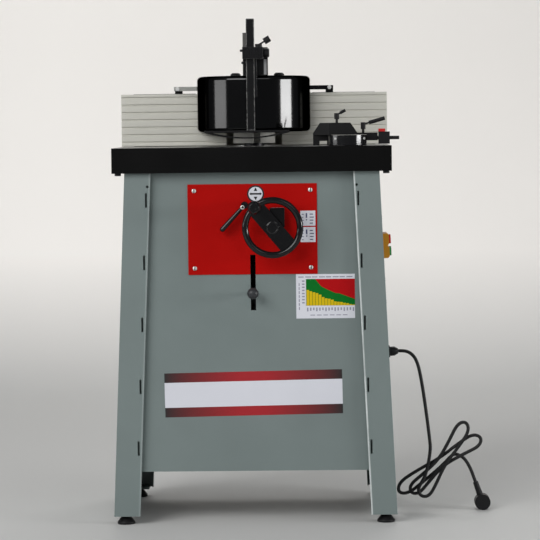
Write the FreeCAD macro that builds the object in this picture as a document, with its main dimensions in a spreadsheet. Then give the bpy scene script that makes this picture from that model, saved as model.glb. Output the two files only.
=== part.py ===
"""Spindle moulder: a floor-standing woodworking machine, modelled in millimetres.

X runs to the operator's right, -Y faces the operator and Z points up.  The origin is on the
floor, straight below the spindle axis.
"""
import FreeCAD, Part

import math
import os
import re

import Sketcher

Vector = FreeCAD.Vector
Rotation = FreeCAD.Rotation

doc = FreeCAD.newDocument("spindle_moulder")

# Driving dimensions, one cell each
SIZES = {
    "table_top": 870, "table_thick": 58, "table_width": 640, "table_depth": 550,
    "table_plate": 16, "table_rim": 45, "table_rib": 15, "table_core_x": 125, "table_core_y": 110,
    "table_hole_radius": 85, "ring_thick": 8, "ring_step": 7, "ring_hole_radius": 62,
    "table_bolt_across": 13, "table_bolt_height": 6, "table_bolt_out": 16, "table_bolt_inset": 17,
    "mitre_slot_y": 220, "mitre_slot_width": 20, "mitre_slot_depth": 10,
    "stand_front": 260, "stand_rear": 200, "stand_half_top": 292, "stand_half_bottom": 327,
    "stand_sheet": 2.5, "leg_strip": 60, "leg_return": 15, "leg_bottom": 20,
    "panel_bottom": 122, "panel_sheet": 2, "panel_inset": 30, "panel_lip": 18,
    "slot_count": 5, "slot_first": 750, "slot_pitch": 143, "slot_height": 33, "slot_width": 4.5,
    "slot_edge": 6, "corner_hole_radius": 3, "corner_hole_drop": 31,
    "foot_radius": 20.5, "foot_neck_radius": 8.5, "foot_pad": 5, "foot_inset": 26,
    "foot_stud_radius": 5, "gusset_thick": 4, "gusset_size": 50, "nut_across": 17, "nut_height": 7,
    "plate_width": 297, "plate_height": 208, "plate_bottom": 577, "plate_sheet": 2,
    "plate_screw_inset": 15, "screw_head_radius": 5, "screw_head_height": 3,
    "knob_slot_bottom": 494, "knob_slot_top": 622, "knob_slot_width": 12,
    "wheel_x": 47, "wheel_z": 686, "wheel_radius": 70, "wheel_tube": 7.5, "wheel_plane": 294,
    "wheel_spoke_width": 40, "wheel_spoke_thick": 8, "wheel_hub_radius": 20, "wheel_hub_length": 30,
    "wheel_spoke_angle": 130, "handle_radius": 15, "handle_length": 62, "handle_pin_radius": 4,
    "handle_end_radius": 10.5, "handle_waist_radius": 9.3, "handle_crown": 7.5, "handle_belly": 21,
    "handle_waist": 46.5, "shaft_radius": 10, "bush_radius": 18, "bush_length": 6,
    "indicator_width": 34, "indicator_height": 44, "indicator_depth": 28, "indicator_left": 6.8,
    "lever_x": 17, "lever_z": 737, "lever_reach": 75, "lever_angle": 227, "lever_hub_radius": 8,
    "lever_hub_length": 26, "lever_grip_radius": 6, "lever_arm_radius": 4.2, "lever_arm_out": 18.2,
    "lever_stud_radius": 5,
    "spindle_radius": 20, "arbor_radius": 15, "arbor_shoulder": 850, "arbor_top": 950,
    "spindle_bottom": 440, "shoulder_radius": 24, "shoulder_thick": 15,
    "cutter_radius": 50, "cutter_height": 36, "cutter_bottom": 876, "cutter_count": 4,
    "collar_radius": 24, "arbor_nut_height": 12, "arbor_nut_across": 46, "arbor_tip": 2,
    "quill_radius": 48, "quill_bore": 38, "quill_bottom": 580, "quill_top": 760,
    "bearing_width": 22, "bearing_inset": 4,
    "column_x": 85, "column_radius": 15, "column_flange_radius": 26, "column_flange": 10,
    "tie_top": 400, "tie_thick": 15, "carriage_bottom": 590, "carriage_top": 715,
    "carriage_half_x": 112, "carriage_half_y": 30,
    "motor_y": 115, "motor_radius": 60, "motor_length": 175, "motor_plate": 12,
    "motor_bell_radius": 39, "motor_bell_height": 18, "motor_top_radius": 51,
    "motor_shaft_radius": 12, "motor_fins": 24, "motor_fin": 4, "motor_fin_root": 2,
    "motor_fin_low": 24, "motor_fin_length": 105,
    "screw_y": 90, "screw_radius": 9, "gearbox_half": 25, "gearbox_bottom": 656, "gearbox_top": 716,
    "nut_arm_top": 577, "nut_arm_thick": 25, "nut_arm_wall": 2, "lift_nut_radius": 16,
    "pulley_bottom": 456, "pulley_step": 24, "pulley_lip": 3, "pulley_change": 10,
    "spindle_pulley_radius": 38, "motor_pulley_radius": 50, "belt_thick": 4, "belt_width": 18,
    "lock_z": 535, "lock_stem_radius": 5, "lock_ball_radius": 13.25, "lock_ball_y": 277,
    "fence_face": 6, "board_thick": 24, "board_height": 124, "board_half": 318, "board_gap": 66,
    "board_groove": 2.5, "board_groove_width": 4, "board_groove_count": 7, "board_lift": 1,
    "housing_half": 140, "housing_rear": 190, "housing_height": 125, "housing_sheet": 4,
    "port_radius": 50, "port_wall": 3, "port_length": 50, "port_height": 66,
    "bracket_thick": 12, "bracket_reach": 290, "bracket_foot": 10, "bracket_foot_depth": 36,
    "fence_bolt_back": 20.4,
    "hood_radius": 135, "hood_wall": 4, "hood_edge": 10, "hood_lip": 2, "hood_bottom": 903,
    "hood_top": 1035, "hood_rear": 3, "arm_reach": 190, "arm_height": 10, "arm_front": 10, "arm_thick": 8,
    "arm_lift": 6, "arm_end": 9, "stay_radius": 5, "ear_width": 18, "arm_bolt_across": 9,
    "arm_bolt_height": 3,
    "cap_left": 40.5, "cap_right": 62, "cap_front": 67.5, "cap_radius": 12, "cap_crown_radius": 8,
    "cap_rim": 3.5, "cap_height": 7,
    "bar_x": 3, "bar_width": 19, "bar_depth": 18, "bar_front": 160, "bar_top": 1166,
    "bar_bottom": 907, "post_left": 21, "post_right": 37, "post_rear": 100, "post_top": 1100,
    "guide_bottom": 985, "guide_wall": 5, "clamp_bottom": 1073, "clamp_front": 172,
    "clamp_right": 27, "scale_strip": 8, "scale_top": 1134,
    "shoe_half": 99, "shoe_x": 13, "shoe_chord": 5, "shoe_drop": 19, "shoe_bow": 3,
    "shoe_width": 26, "shoe_proud": 4, "shoe_end": 18,
    "bar_knob_radius": 10.5, "bar_knob_length": 14, "bar_knob_edge": 2, "bar_stud_radius": 4,
    "clamp_lever_radius": 8, "clamp_lever_hub": 7, "clamp_lever_rise": 15, "clamp_lever_reach": 26,
    "clamp_rod_radius": 2, "clamp_grip_radius": 7.5, "clamp_grip_length": 15,
    "mitre_x": 219, "mitre_bar_left": 95, "mitre_bar_right": 300, "protractor_radius": 46,
    "protractor_thick": 24, "swivel_radius": 7, "swivel_height": 18,
    "head_half_top": 35, "head_half_bottom": 54, "head_height": 28, "head_x": 192, "head_facet": 20,
    "head_facet_angle": 45, "head_half_depth": 18,
    "mitre_fence_left": 141, "mitre_fence_right": 290, "mitre_fence_depth": 20,
    "mitre_fence_height": 18, "mitre_fence_lift": 10.4, "mitre_foot_width": 15, "mitre_foot_height": 22,
    "stop_rod_radius": 4, "stop_rod_end": 340, "stop_rod_height": 6,
    "stop_gap": 2, "stop_width": 26, "stop_depth": 24, "stop_height": 28,
    "flag_width": 15.6, "flag_depth": 17, "flag_height": 7,
    "lever_stem_radius": 3, "lever_stud_depth": 3,
    "small_lever_x": 196, "small_lever_stem": 8, "small_lever_radius": 5.8, "small_lever_hub": 14,
    "small_lever_reach": 20, "small_lever_rise": 11, "small_grip_radius": 3.5, "small_grip_length": 14,
    "large_lever_x": 257, "large_lever_stem": 8, "large_lever_radius": 5.6, "large_lever_hub": 16,
    "large_lever_reach": 50, "large_lever_rise": 14, "large_grip_radius": 4.5, "large_grip_length": 38,
    "switch_y": 130, "switch_z": 635, "switch_width": 70, "switch_height": 58, "switch_depth": 16,
    "switch_chamfer": 4, "button_radius": 11, "button_proud": 5, "button_travel": 4, "button_inset": 15,
    "gland_y": 90, "gland_z": 381, "gland_radius": 11, "gland_length": 25.6, "gland_flange": 6.4,
    "gland_flange_radius": 14.3, "gland_shoulder": 16.6, "sleeve_wall": 2, "cord_diameter": 8,
    "plug_radius": 18.5, "plug_thick": 32, "pin_radius": 2.4, "pin_length": 19, "pin_spacing": 19,
    "door_half": 150, "door_bottom": 300, "door_top": 700, "door_sheet": 2, "hinge_radius": 6,
    "hinge_from_edge": 75, "hinge_length": 30, "door_hole_inset": 30, "door_knob_radius": 11,
    "door_knob_length": 12, "door_knob_inset": 18,
    "running_gap": 0.05, "seat_gap": 0.1, "side_gap": 0.3, "free_gap": 0.5, "cut_over": 1,
}

# Places and sizes that follow from the driving dimensions
PLACES = {
    "table_bottom": "table_top - table_thick",
    "half_width": "table_width / 2",
    "half_depth": "table_depth / 2",
    "splay_run": "stand_half_bottom - stand_half_top",
    "splay_rise": "table_bottom - leg_bottom",
    "splay": "atan(splay_run / splay_rise)",
    "plate_top": "plate_bottom + plate_height",
    "door_face": "stand_rear - leg_return",
    "panel_front": "stand_front - leg_return",
    "plate_front": "panel_front + plate_sheet",
    "foot_x": "stand_half_bottom - foot_inset",
    "foot_front": "foot_inset - stand_front",
    "foot_rear": "stand_rear - foot_inset",
    "motor_top": "carriage_top - motor_plate",
    "motor_bottom": "motor_top - motor_length",
    "nut_arm_bottom": "nut_arm_top - nut_arm_thick",
    "spoke_front": "wheel_plane + wheel_spoke_thick / 2",
    "wheel_ring": "wheel_radius - wheel_tube",
    "rim_front": "wheel_plane + wheel_tube",
    "handle_x": "wheel_x + wheel_ring * cos(wheel_spoke_angle * 1deg)",
    "handle_z": "wheel_z + wheel_ring * sin(wheel_spoke_angle * 1deg)",
    "board_bottom": "table_top + board_lift",
    "board_top": "board_bottom + board_height",
    "fence_back": "fence_face + board_thick + side_gap",
    "bracket_back": "fence_back + bracket_thick",
    "bracket_top": "board_top + board_lift",
    "arm_bottom": "bracket_top + arm_lift",
    "arm_top": "arm_bottom + arm_height",
    "port_z": "table_top + port_height",
    "housing_top": "table_top + housing_height",
    "bar_rear": "bar_front - bar_depth",
    "bar_left": "bar_x + bar_width / 2",
    "bar_right": "bar_width / 2 - bar_x",
    "post_front": "bar_rear - side_gap - guide_wall",
    "mitre_top": "table_top + side_gap",
    "mitre_low": "mitre_top + side_gap",
    "head_bottom": "mitre_low + protractor_thick",
    "head_top": "head_bottom + head_height",
    "mitre_fence_front": "mitre_slot_y - head_half_depth",
    "mitre_fence_back": "mitre_fence_front - mitre_fence_depth",
    "mitre_fence_bottom": "mitre_low + mitre_fence_lift",
    "mitre_fence_top": "mitre_fence_bottom + mitre_fence_height",
    "stop_y": "mitre_fence_front - mitre_fence_depth / 2",
    "stop_z": "mitre_fence_bottom + stop_rod_height",
    "gland_x": "stand_half_bottom - splay_run * (gland_z - leg_bottom) / splay_rise",
}


def make_sheet(name, rows, mark):
    """A sheet with one aliased cell for each row."""
    sheet = doc.addObject("Spreadsheet::Sheet", name)
    for number, (alias, content) in enumerate(rows.items(), 1):
        sheet.set("A%d" % number, alias)
        sheet.setAlias("B%d" % number, alias)
        sheet.set("B%d" % number, mark + named(str(content)))
    doc.recompute()
    return sheet


def named(formula):
    """The formula with each size or place written as its sheet's cell."""
    def cell(match):
        word = match.group()
        if word in SIZES:
            return "sizes." + word
        return "places." + word if word in PLACES else word
    return re.sub(r"[a-z_]+\b(?!\()", cell, str(formula))


sizes = make_sheet("sizes", SIZES, "")
places = make_sheet("places", PLACES, "=")


def size(name):
    """The number in a cell, in millimetres or degrees."""
    found = sizes.get(name) if name in SIZES else places.get(name)
    return float(getattr(found, "Value", found))


SUBPARTS = []
AXIS_TURN = {"x": Rotation(Vector(0, 1, 0), 90), "y": Rotation(Vector(1, 0, 0), -90), "z": Rotation()}


def keep(label, shape):
    """Name a finished sub-part."""
    shape.Label = label
    SUBPARTS.append(shape)
    return shape


def put(obj, x, y, z):
    """Place an object by three formulas."""
    for axis, formula in zip("xyz", (x, y, z)):
        obj.setExpression("Placement.Base." + axis, named(formula))
    return obj


def box(x_low, x_high, y_low, y_high, z_low, z_high):
    """A block between two corners."""
    obj = doc.addObject("Part::Box", "block")
    obj.setExpression("Length", named("(%s) - (%s)" % (x_high, x_low)))
    obj.setExpression("Width", named("(%s) - (%s)" % (y_high, y_low)))
    obj.setExpression("Height", named("(%s) - (%s)" % (z_high, z_low)))
    return put(obj, x_low, y_low, z_low)


def rod(axis, radius, length, x, y, z):
    """A cylinder that starts at a point and runs along a positive axis."""
    obj = doc.addObject("Part::Cylinder", "rod")
    obj.Placement = FreeCAD.Placement(Vector(), AXIS_TURN[axis])
    obj.setExpression("Radius", named(radius))
    obj.setExpression("Height", named(length))
    return put(obj, x, y, z)


def ball(radius, x, y, z):
    """A sphere."""
    obj = doc.addObject("Part::Sphere", "ball")
    obj.setExpression("Radius", named(radius))
    return put(obj, x, y, z)


def hexagon(axis, across, height, x, y, z):
    """A hexagonal prism, for nuts and bolt heads."""
    obj = doc.addObject("Part::Prism", "hexagon")
    obj.Polygon = 6
    obj.Placement = FreeCAD.Placement(Vector(), AXIS_TURN[axis])
    obj.setExpression("Circumradius", named("(%s) / sqrt(3)" % across))
    obj.setExpression("Height", named(height))
    return put(obj, x, y, z)


def fuse(*shapes):
    """Several shapes joined into one solid."""
    obj = doc.addObject("Part::MultiFuse", "joined")
    obj.Shapes = list(shapes)
    obj.Refine = True
    return obj


def group(*shapes):
    """Separate solids that share one sub-part."""
    obj = doc.addObject("Part::Compound", "group")
    obj.Links = list(shapes)
    return obj


def cut(base, *tools):
    """A shape with the tools taken away."""
    obj = doc.addObject("Part::Cut", "cut")
    obj.Base = base
    obj.Tool = tools[0] if len(tools) == 1 else group(*tools)
    return obj


def common(base, tool):
    """What two shapes share."""
    obj = doc.addObject("Part::Common", "common")
    obj.Base = base
    obj.Tool = tool
    return obj


def turn_about(obj, axis, angle, x, y, z):
    """Place an object turned about its own corner by a formula in degrees."""
    obj.Placement = FreeCAD.Placement(Vector(), Rotation(axis, 1))
    obj.setExpression("Placement.Rotation.Angle", named(angle))
    return put(obj, x, y, z)


def outline_sketch(body, plane, points, offset):
    """A closed outline of straight lines, with each corner set by two formulas."""
    sketch = body.newObject("Sketcher::SketchObject", "outline")
    support = [item for item in body.Origin.OriginFeatures if item.Role == plane][0]
    sketch.AttachmentSupport = [(support, "")]
    sketch.MapMode = "FlatFace"
    sketch.setExpression("AttachmentOffset.Base.z", named(offset))
    count = len(points)
    angles = [math.tau * i / count for i in range(count)]
    corners = [Vector(math.cos(angle), math.sin(angle), 0) for angle in angles]
    for i in range(count):
        sketch.addGeometry(Part.LineSegment(corners[i], corners[(i + 1) % count]))
    for i in range(count):
        sketch.addConstraint(Sketcher.Constraint("Coincident", i, 2, (i + 1) % count, 1))
    for i, pair in enumerate(points):
        for kind, formula, start in zip(("DistanceX", "DistanceY"), pair, corners[i]):
            number = sketch.addConstraint(Sketcher.Constraint(kind, -1, 1, i, 1, start))
            sketch.setExpression("Constraints[%d]" % number, named(formula))
    return sketch


def prism(plane, points, low, high):
    """An outline on a principal plane, padded from low to high along that plane's axis."""
    body = doc.addObject("PartDesign::Body", "prism")
    offset = "-(%s)" % high if plane == "XZ_Plane" else low
    sketch = outline_sketch(body, plane, points, offset)
    pad = body.newObject("PartDesign::Pad", "pad")
    pad.Profile = sketch
    pad.setExpression("Length", named("(%s) - (%s)" % (high, low)))
    sketch.Visibility = False
    return body


def turned(points, axis, x, y, z):
    """A radius and height outline, revolved, with its height along a positive axis."""
    body = doc.addObject("PartDesign::Body", "turned")
    sketch = outline_sketch(body, "XZ_Plane", points, "0")
    revolution = body.newObject("PartDesign::Revolution", "revolution")
    revolution.Profile = sketch
    revolution.ReferenceAxis = (sketch, ["V_Axis"])
    revolution.Angle = 360
    body.Placement = FreeCAD.Placement(Vector(), AXIS_TURN[axis])
    return put(body, x, y, z)


def soften(body, radius, wanted):
    """Round those edges of a body's last feature that a test picks."""
    doc.recompute()
    feature = body.Tip
    chosen = ["Edge%d" % number for number, edge in enumerate(feature.Shape.Edges, 1) if wanted(edge)]
    fillet = body.newObject("PartDesign::Fillet", "soft_edges")
    fillet.Base = (feature, chosen)
    fillet.setExpression("Radius", named(radius))
    return body


def both_sides(*names):
    """A sign for each side of the machine."""
    return zip(names, ("-", ""))


# Stand: two splayed side frames, each one folded sheet with foot gussets
def half_at(height):
    """The stand's half width at a height."""
    return "(stand_half_bottom - splay_run * (%s - leg_bottom) / splay_rise)" % height


def side_sheet(sign):
    """The folded sheet of one side: wall, front and rear strips and their returns."""
    wall = "stand_half_bottom"
    inner = "stand_half_bottom - stand_sheet"
    edge = "stand_half_bottom - leg_strip"
    lip = "stand_half_bottom - leg_strip + stand_sheet"
    rows = [(wall, "-stand_front"), (wall, "stand_rear"), (edge, "stand_rear"),
            (edge, "stand_rear - leg_return"), (lip, "stand_rear - leg_return"),
            (lip, "stand_rear - stand_sheet"), (inner, "stand_rear - stand_sheet"),
            (inner, "stand_sheet - stand_front"), (lip, "stand_sheet - stand_front"),
            (lip, "leg_return - stand_front"), (edge, "leg_return - stand_front"), (edge, "-stand_front")]
    body = doc.addObject("PartDesign::Body", "side")
    sketch = outline_sketch(body, "XY_Plane", [(sign + "(%s)" % x, y) for x, y in rows], "leg_bottom")
    pad = body.newObject("PartDesign::Pad", "pad")
    pad.Profile = sketch
    pad.UseCustomVector = True
    pad.AlongSketchNormal = True
    pad.Direction = Vector(0, 0, 1)
    pad.setExpression("Direction.x", named("-(%s1) * splay_run / splay_rise" % sign))
    pad.setExpression("Length", named("splay_rise"))
    return body


def mirrored_box(sign, x_low, x_high, y_low, y_high, z_low, z_high):
    """A block given for the right side, or its mirror image on the left."""
    if sign:
        return box("-(%s)" % x_high, "-(%s)" % x_low, y_low, y_high, z_low, z_high)
    return box(x_low, x_high, y_low, y_high, z_low, z_high)


def side_frame(sign):
    """One side of the stand, with the slots along the front fold and the foot holes."""
    gusset_x = ("stand_half_bottom - gusset_size - stand_sheet", "stand_half_bottom - stand_sheet / 2")
    front_y = ("stand_sheet / 2 - stand_front", "gusset_size - stand_front")
    rear_y = ("stand_rear - gusset_size", "stand_rear - stand_sheet / 2")
    gussets = [mirrored_box(sign, *gusset_x, *span, "leg_bottom", "leg_bottom + gusset_thick")
               for span in (front_y, rear_y)]
    shell = fuse(side_sheet(sign), *gussets)
    tools = []
    for y in ("foot_front", "foot_rear"):
        tools.append(rod("z", "foot_stud_radius + running_gap", "gusset_thick * 3", sign + "foot_x", y,
                         "leg_bottom - gusset_thick"))
    for number in range(int(size("slot_count"))):
        middle = "slot_first - slot_pitch * %d" % number
        edge = half_at("(%s)" % middle) + " - leg_strip + slot_edge"
        tools.append(mirrored_box(sign, edge, edge + " + slot_width", "-stand_front - stand_sheet",
                                  "stand_sheet * 2 - stand_front", middle + " - slot_height / 2",
                                  middle + " + slot_height / 2"))
    corner = "table_bottom - corner_hole_drop"
    corner_x = sign + "(%s - leg_strip + slot_edge)" % half_at("(%s)" % corner)
    tools.append(rod("y", "corner_hole_radius", "stand_sheet * 3", corner_x, "-stand_front - stand_sheet",
                     corner))
    return cut(shell, *tools)


for label, sign in both_sides("left_side_frame", "right_side_frame"):
    keep(label, side_frame(sign))


def stand_panel(y_low, y_high, lip_low, lip_high):
    """A flat trapezoid panel between the sides, with a folded bottom lip."""
    bottom = half_at("panel_bottom") + " - panel_inset"
    top = "stand_half_top - panel_inset"
    outline = [("-(%s)" % bottom, "panel_bottom"), (bottom, "panel_bottom"),
               (top, "table_bottom"), ("-(%s)" % top, "table_bottom")]
    lip = box("-(%s)" % bottom, bottom, lip_low, lip_high, "panel_bottom", "panel_bottom + panel_sheet")
    return fuse(prism("XZ_Plane", outline, y_low, y_high), lip)


def through(radius, x, z, y_low="-plate_front * 2", length="plate_front * 2"):
    """A round hole along Y, long enough for the front panel and the plate."""
    return rod("y", radius, length, x, y_low, z)


SHAFT_HOLE = "shaft_radius + free_gap"
STUD_HOLE = "lever_stud_radius + running_gap"


def front_openings():
    """The knob slot and the holes for the wheel shaft and the lock lever."""
    slot = box("-knob_slot_width / 2", "knob_slot_width / 2", "-plate_front * 2", "0",
               "knob_slot_bottom", "knob_slot_top")
    return [slot, through(SHAFT_HOLE, "wheel_x", "wheel_z"), through(STUD_HOLE, "-lever_x", "lever_z")]


keep("front_panel", cut(stand_panel("-panel_front", "panel_sheet - panel_front",
                                    "panel_sheet / 2 - panel_front", "panel_lip - panel_front"),
                        *front_openings()))
keep("control_plate", cut(box("-plate_width / 2", "plate_width / 2", "-plate_front", "-panel_front",
                              "plate_bottom", "plate_top"), *front_openings()))
keep("control_plate_screws", group(*[
    rod("y", "screw_head_radius", "screw_head_height", side + "(plate_width / 2 - plate_screw_inset)",
        "-plate_front - screw_head_height", z)
    for side in ("-", "") for z in ("plate_bottom + plate_screw_inset", "plate_top - plate_screw_inset")]))

# Rear panel with its belt door on two hinges
keep("rear_panel", cut(
    stand_panel("door_face - panel_sheet", "door_face", "door_face - panel_lip",
                "door_face - panel_sheet / 2"),
    box("door_hole_inset - door_half", "door_half - door_hole_inset", "0", "stand_rear",
        "door_bottom + door_hole_inset", "door_top - door_hole_inset")))
door_y = ("door_face + side_gap", "door_face + side_gap + door_sheet")
hinge_x = "-door_half - hinge_radius - side_gap"
hinge_y = "door_face + hinge_radius"
hinge_heights = ("door_bottom + hinge_from_edge", "door_top - hinge_from_edge")


def belt_door():
    """A sheet door with two hinge eyes and a turned knob at its free edge."""
    pieces = [box("-door_half", "door_half", *door_y, "door_bottom", "door_top")]
    for z in hinge_heights:
        eye = rod("z", "hinge_radius", "hinge_length", hinge_x, hinge_y, z)
        bore = rod("z", "hinge_radius / 2 + running_gap", "hinge_length * 2", hinge_x, hinge_y,
                   z + " - hinge_length / 2")
        leaf = box(hinge_x, "hinge_length - door_half", *door_y, z, z + " + hinge_length")
        pieces += [leaf, cut(eye, bore)]
    rows = [("0", "0"), ("door_knob_radius / 2", "0"), ("door_knob_radius / 2", "door_knob_length / 2"),
            ("door_knob_radius", "door_knob_length / 2"), ("door_knob_radius", "door_knob_length"),
            ("0", "door_knob_length")]
    pieces.append(turned(rows, "y", "door_half - door_knob_inset", door_y[1] + " - door_sheet / 2",
                         "(door_bottom + door_top) / 2"))
    return fuse(*pieces)


def hinge_pin(z):
    """A pin on its leaf below a hinge eye."""
    foot = z + " - hinge_length / 2"
    return fuse(rod("z", "hinge_radius / 2", "hinge_length * 1.5", hinge_x, hinge_y, foot),
                rod("z", "hinge_radius", "hinge_length / 2 - side_gap", hinge_x, hinge_y, foot),
                box("-door_half - hinge_length", hinge_x, "door_face", hinge_y, foot, z + " - side_gap"))


keep("belt_door", belt_door())
keep("door_hinge_pins", group(*[hinge_pin(z) for z in hinge_heights]))

# Levelling feet and the nuts that lock them
foot_outline = [("0", "0"), ("foot_radius", "0"), ("foot_radius", "foot_pad"),
                ("foot_neck_radius", "leg_bottom"),
                ("foot_stud_radius", "leg_bottom"), ("foot_stud_radius", "leg_bottom + nut_height * 2"),
                ("0", "leg_bottom + nut_height * 2")]
foot_places = [(side + "foot_x", y) for side in ("-", "") for y in ("foot_front", "foot_rear")]
keep("levelling_feet", group(*[turned(foot_outline, "z", x, y, "0") for x, y in foot_places]))
foot_nuts = [cut(hexagon("z", "nut_across", "nut_height", x, y, "leg_bottom + gusset_thick"),
                 rod("z", "foot_stud_radius + running_gap", "nut_height * 3", x, y, "leg_bottom"))
             for x, y in foot_places]


# Table: a cast plate with a deep rim, ribs below, a stepped spindle hole and a mitre slot
def table():
    """The cast table."""
    inner_x = "half_width - table_rim"
    bays = [("-(%s)" % inner_x, inner_x, "mitre_slot_width - mitre_slot_y", "-table_core_y - table_rib"),
            ("-(%s)" % inner_x, "-table_core_x", "-table_core_y", "table_core_y"),
            ("table_core_x", inner_x, "-table_core_y", "table_core_y"),
            ("-(%s)" % inner_x, inner_x, "table_core_y + table_rib", "stand_rear - table_rib"),
            ("-(%s)" % inner_x, inner_x, "stand_rear + table_rib", "half_depth - table_rib")]
    tools = [box(*bay, "table_bottom - table_rib", "table_top - table_plate") for bay in bays]
    tools.append(rod("z", "table_hole_radius", "table_thick", "0", "0", "table_top - ring_thick"))
    tools.append(rod("z", "table_hole_radius - ring_step", "table_thick * 3", "0", "0",
                     "table_bottom - table_thick"))
    tools.append(box("-table_width", "table_width", "-mitre_slot_y - mitre_slot_width / 2",
                     "mitre_slot_width / 2 - mitre_slot_y", "table_top - mitre_slot_depth",
                     "table_top + table_thick"))
    plate = box("-half_width", "half_width", "-half_depth", "half_depth", "table_bottom", "table_top")
    return cut(plate, *tools)


def ring(outer, inner, height, x, y, z, axis="z"):
    """A plain ring."""
    start = dict(zip("xyz", (x, y, z)))
    start[axis] += " - cut_over"
    bore = rod(axis, inner, height + " + cut_over * 2", *start.values())
    return cut(rod(axis, outer, height, x, y, z), bore)


keep("table", table())
keep("table_ring", ring("table_hole_radius - seat_gap", "ring_hole_radius", "ring_thick", "0", "0",
                        "table_top - ring_thick"))
bolt_x = "(stand_half_top + table_bolt_out)"
bolt_rows = ("table_bolt_inset - stand_front", "stand_rear - table_bolt_inset")
table_bolts = [hexagon("z", "table_bolt_across", "table_bolt_height", side + bolt_x, y,
                       "table_bottom - table_bolt_height") for side in ("-", "") for y in bolt_rows]

# Spindle lift: two columns under the table, a tie plate, a gearbox and a screw
def guide_column(side):
    """A round column with a flange under the table."""
    return fuse(rod("z", "column_radius", "table_bottom - tie_top", side + "column_x", "0", "tie_top"),
                rod("z", "column_flange_radius", "column_flange", side + "column_x", "0",
                    "table_bottom - column_flange"))


keep("guide_columns", group(guide_column("-"), guide_column("")))
tie_x = "column_x + column_flange_radius"
keep("column_tie_plate", cut(
    box("-(%s)" % tie_x, tie_x, "-screw_y - column_flange_radius", "column_flange_radius",
        "tie_top - tie_thick", "tie_top"),
    rod("z", "screw_radius + running_gap", "tie_thick * 3", "wheel_x", "-screw_y",
        "tie_top - tie_thick * 2")))
gear_x = ("wheel_x - gearbox_half", "wheel_x + gearbox_half")
gear_front = "-screw_y - gearbox_half"
shaft_end = gear_front + " + gearbox_half - screw_radius"
screw_end = "wheel_z - shaft_radius - screw_radius / 2"
keep("lift_gearbox", cut(
    fuse(box(*gear_x, gear_front, "gearbox_half - screw_y", "gearbox_bottom", "gearbox_top"),
         box(*gear_x, "-screw_y + free_gap", "gearbox_half - screw_y", "gearbox_top - free_gap",
             "table_bottom")),
    rod("y", "shaft_radius + running_gap", "gearbox_half * 2", "wheel_x", shaft_end + " - gearbox_half * 2",
        "wheel_z"),
    rod("z", "screw_radius + running_gap", screw_end + " - gearbox_bottom + gearbox_half", "wheel_x",
        "-screw_y", "gearbox_bottom - gearbox_half")))
keep("lift_screw", rod("z", "screw_radius", screw_end + " - tie_top + tie_thick", "wheel_x", "-screw_y",
                       "tie_top - tie_thick"))


# Spindle carriage, its bearings, the motor and the lift nut
def carriage():
    """The casting that slides on the columns and carries spindle, motor and nut."""
    arm_half = "(lift_nut_radius + seat_gap + nut_arm_wall)"
    arm_x = ("wheel_x - " + arm_half, "wheel_x + " + arm_half)
    lug = "lock_stem_radius * 3"
    solid = fuse(
        box("-carriage_half_x", "carriage_half_x", "-carriage_half_y", "carriage_half_y",
            "carriage_bottom", "carriage_top"),
        rod("z", "quill_radius", "quill_top - quill_bottom", "0", "0", "quill_bottom"),
        box("-motor_radius", "motor_radius", "carriage_half_y - cut_over", "motor_y + motor_radius",
            "motor_top", "carriage_top"),
        box(*arm_x, "-carriage_half_y", "0", "nut_arm_bottom", "carriage_bottom + cut_over"),
        box(*arm_x, "-screw_y - " + arm_half, "-carriage_half_y + cut_over", "nut_arm_bottom", "nut_arm_top"),
        box("-(%s)" % lug, lug, "-carriage_half_y * 2", "-carriage_half_y + cut_over", "lock_z - " + lug,
            "carriage_bottom + cut_over"))
    tools = [rod("z", "column_radius + running_gap", "carriage_top", side + "column_x", "0",
                 "carriage_bottom / 2") for side in ("-", "")]
    tools.append(rod("z", "quill_bore", "quill_top", "0", "0", "quill_bottom - cut_over"))
    tools.append(rod("z", "spindle_radius + screw_radius", "quill_top", "0", "0", "lock_z - spindle_radius"))
    tools.append(rod("z", "lift_nut_radius + seat_gap", "nut_arm_thick * 2", "wheel_x", "-screw_y",
                     "nut_arm_bottom - nut_arm_thick / 2"))
    tools.append(rod("y", "lock_stem_radius + running_gap", "carriage_half_y * 3", "0",
                     "-carriage_half_y * 3", "lock_z"))
    return cut(solid, *tools)


keep("spindle_carriage", carriage())
bearing = ("quill_bore - seat_gap", "spindle_radius + running_gap", "bearing_width", "0", "0")
keep("spindle_bearings", group(ring(*bearing, "quill_bottom + bearing_inset"),
                               ring(*bearing, "quill_top - bearing_inset - bearing_width")))
keep("lift_nut", ring("lift_nut_radius", "screw_radius + running_gap", "nut_arm_thick", "wheel_x", "-screw_y",
                      "nut_arm_bottom"))


def motor():
    """The motor casing with its end bell and cooling fins."""
    bore = "motor_shaft_radius + running_gap"
    depth = "motor_bottom + motor_shaft_radius * 2"
    rows = [("0", depth), (bore, depth), (bore, "motor_bottom"), ("motor_bell_radius", "motor_bottom"),
            ("motor_radius", "motor_bottom + motor_bell_height"), ("motor_radius", "motor_top - motor_plate"),
            ("motor_top_radius", "motor_top"), ("0", "motor_top")]
    shell = turned(rows, "z", "0", "motor_y", "0")
    fins = []
    count = int(size("motor_fins"))
    for number in range(count):
        angle = "%s * 1deg" % (360.0 * number / count)
        fin = doc.addObject("Part::Box", "fin")
        fin.Placement = FreeCAD.Placement(Vector(), Rotation(Vector(0, 0, 1), 360.0 * number / count))
        fin.setExpression("Length", named("motor_fin + motor_fin_root"))
        fin.setExpression("Width", named("motor_fin"))
        fin.setExpression("Height", named("motor_fin_length"))
        fins.append(put(fin, "(motor_radius - motor_fin_root) * cos(%s)" % angle,
                        "motor_y + (motor_radius - motor_fin_root) * sin(%s)" % angle,
                        "motor_bottom + motor_fin_low"))
    return fuse(shell, *fins)


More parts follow.
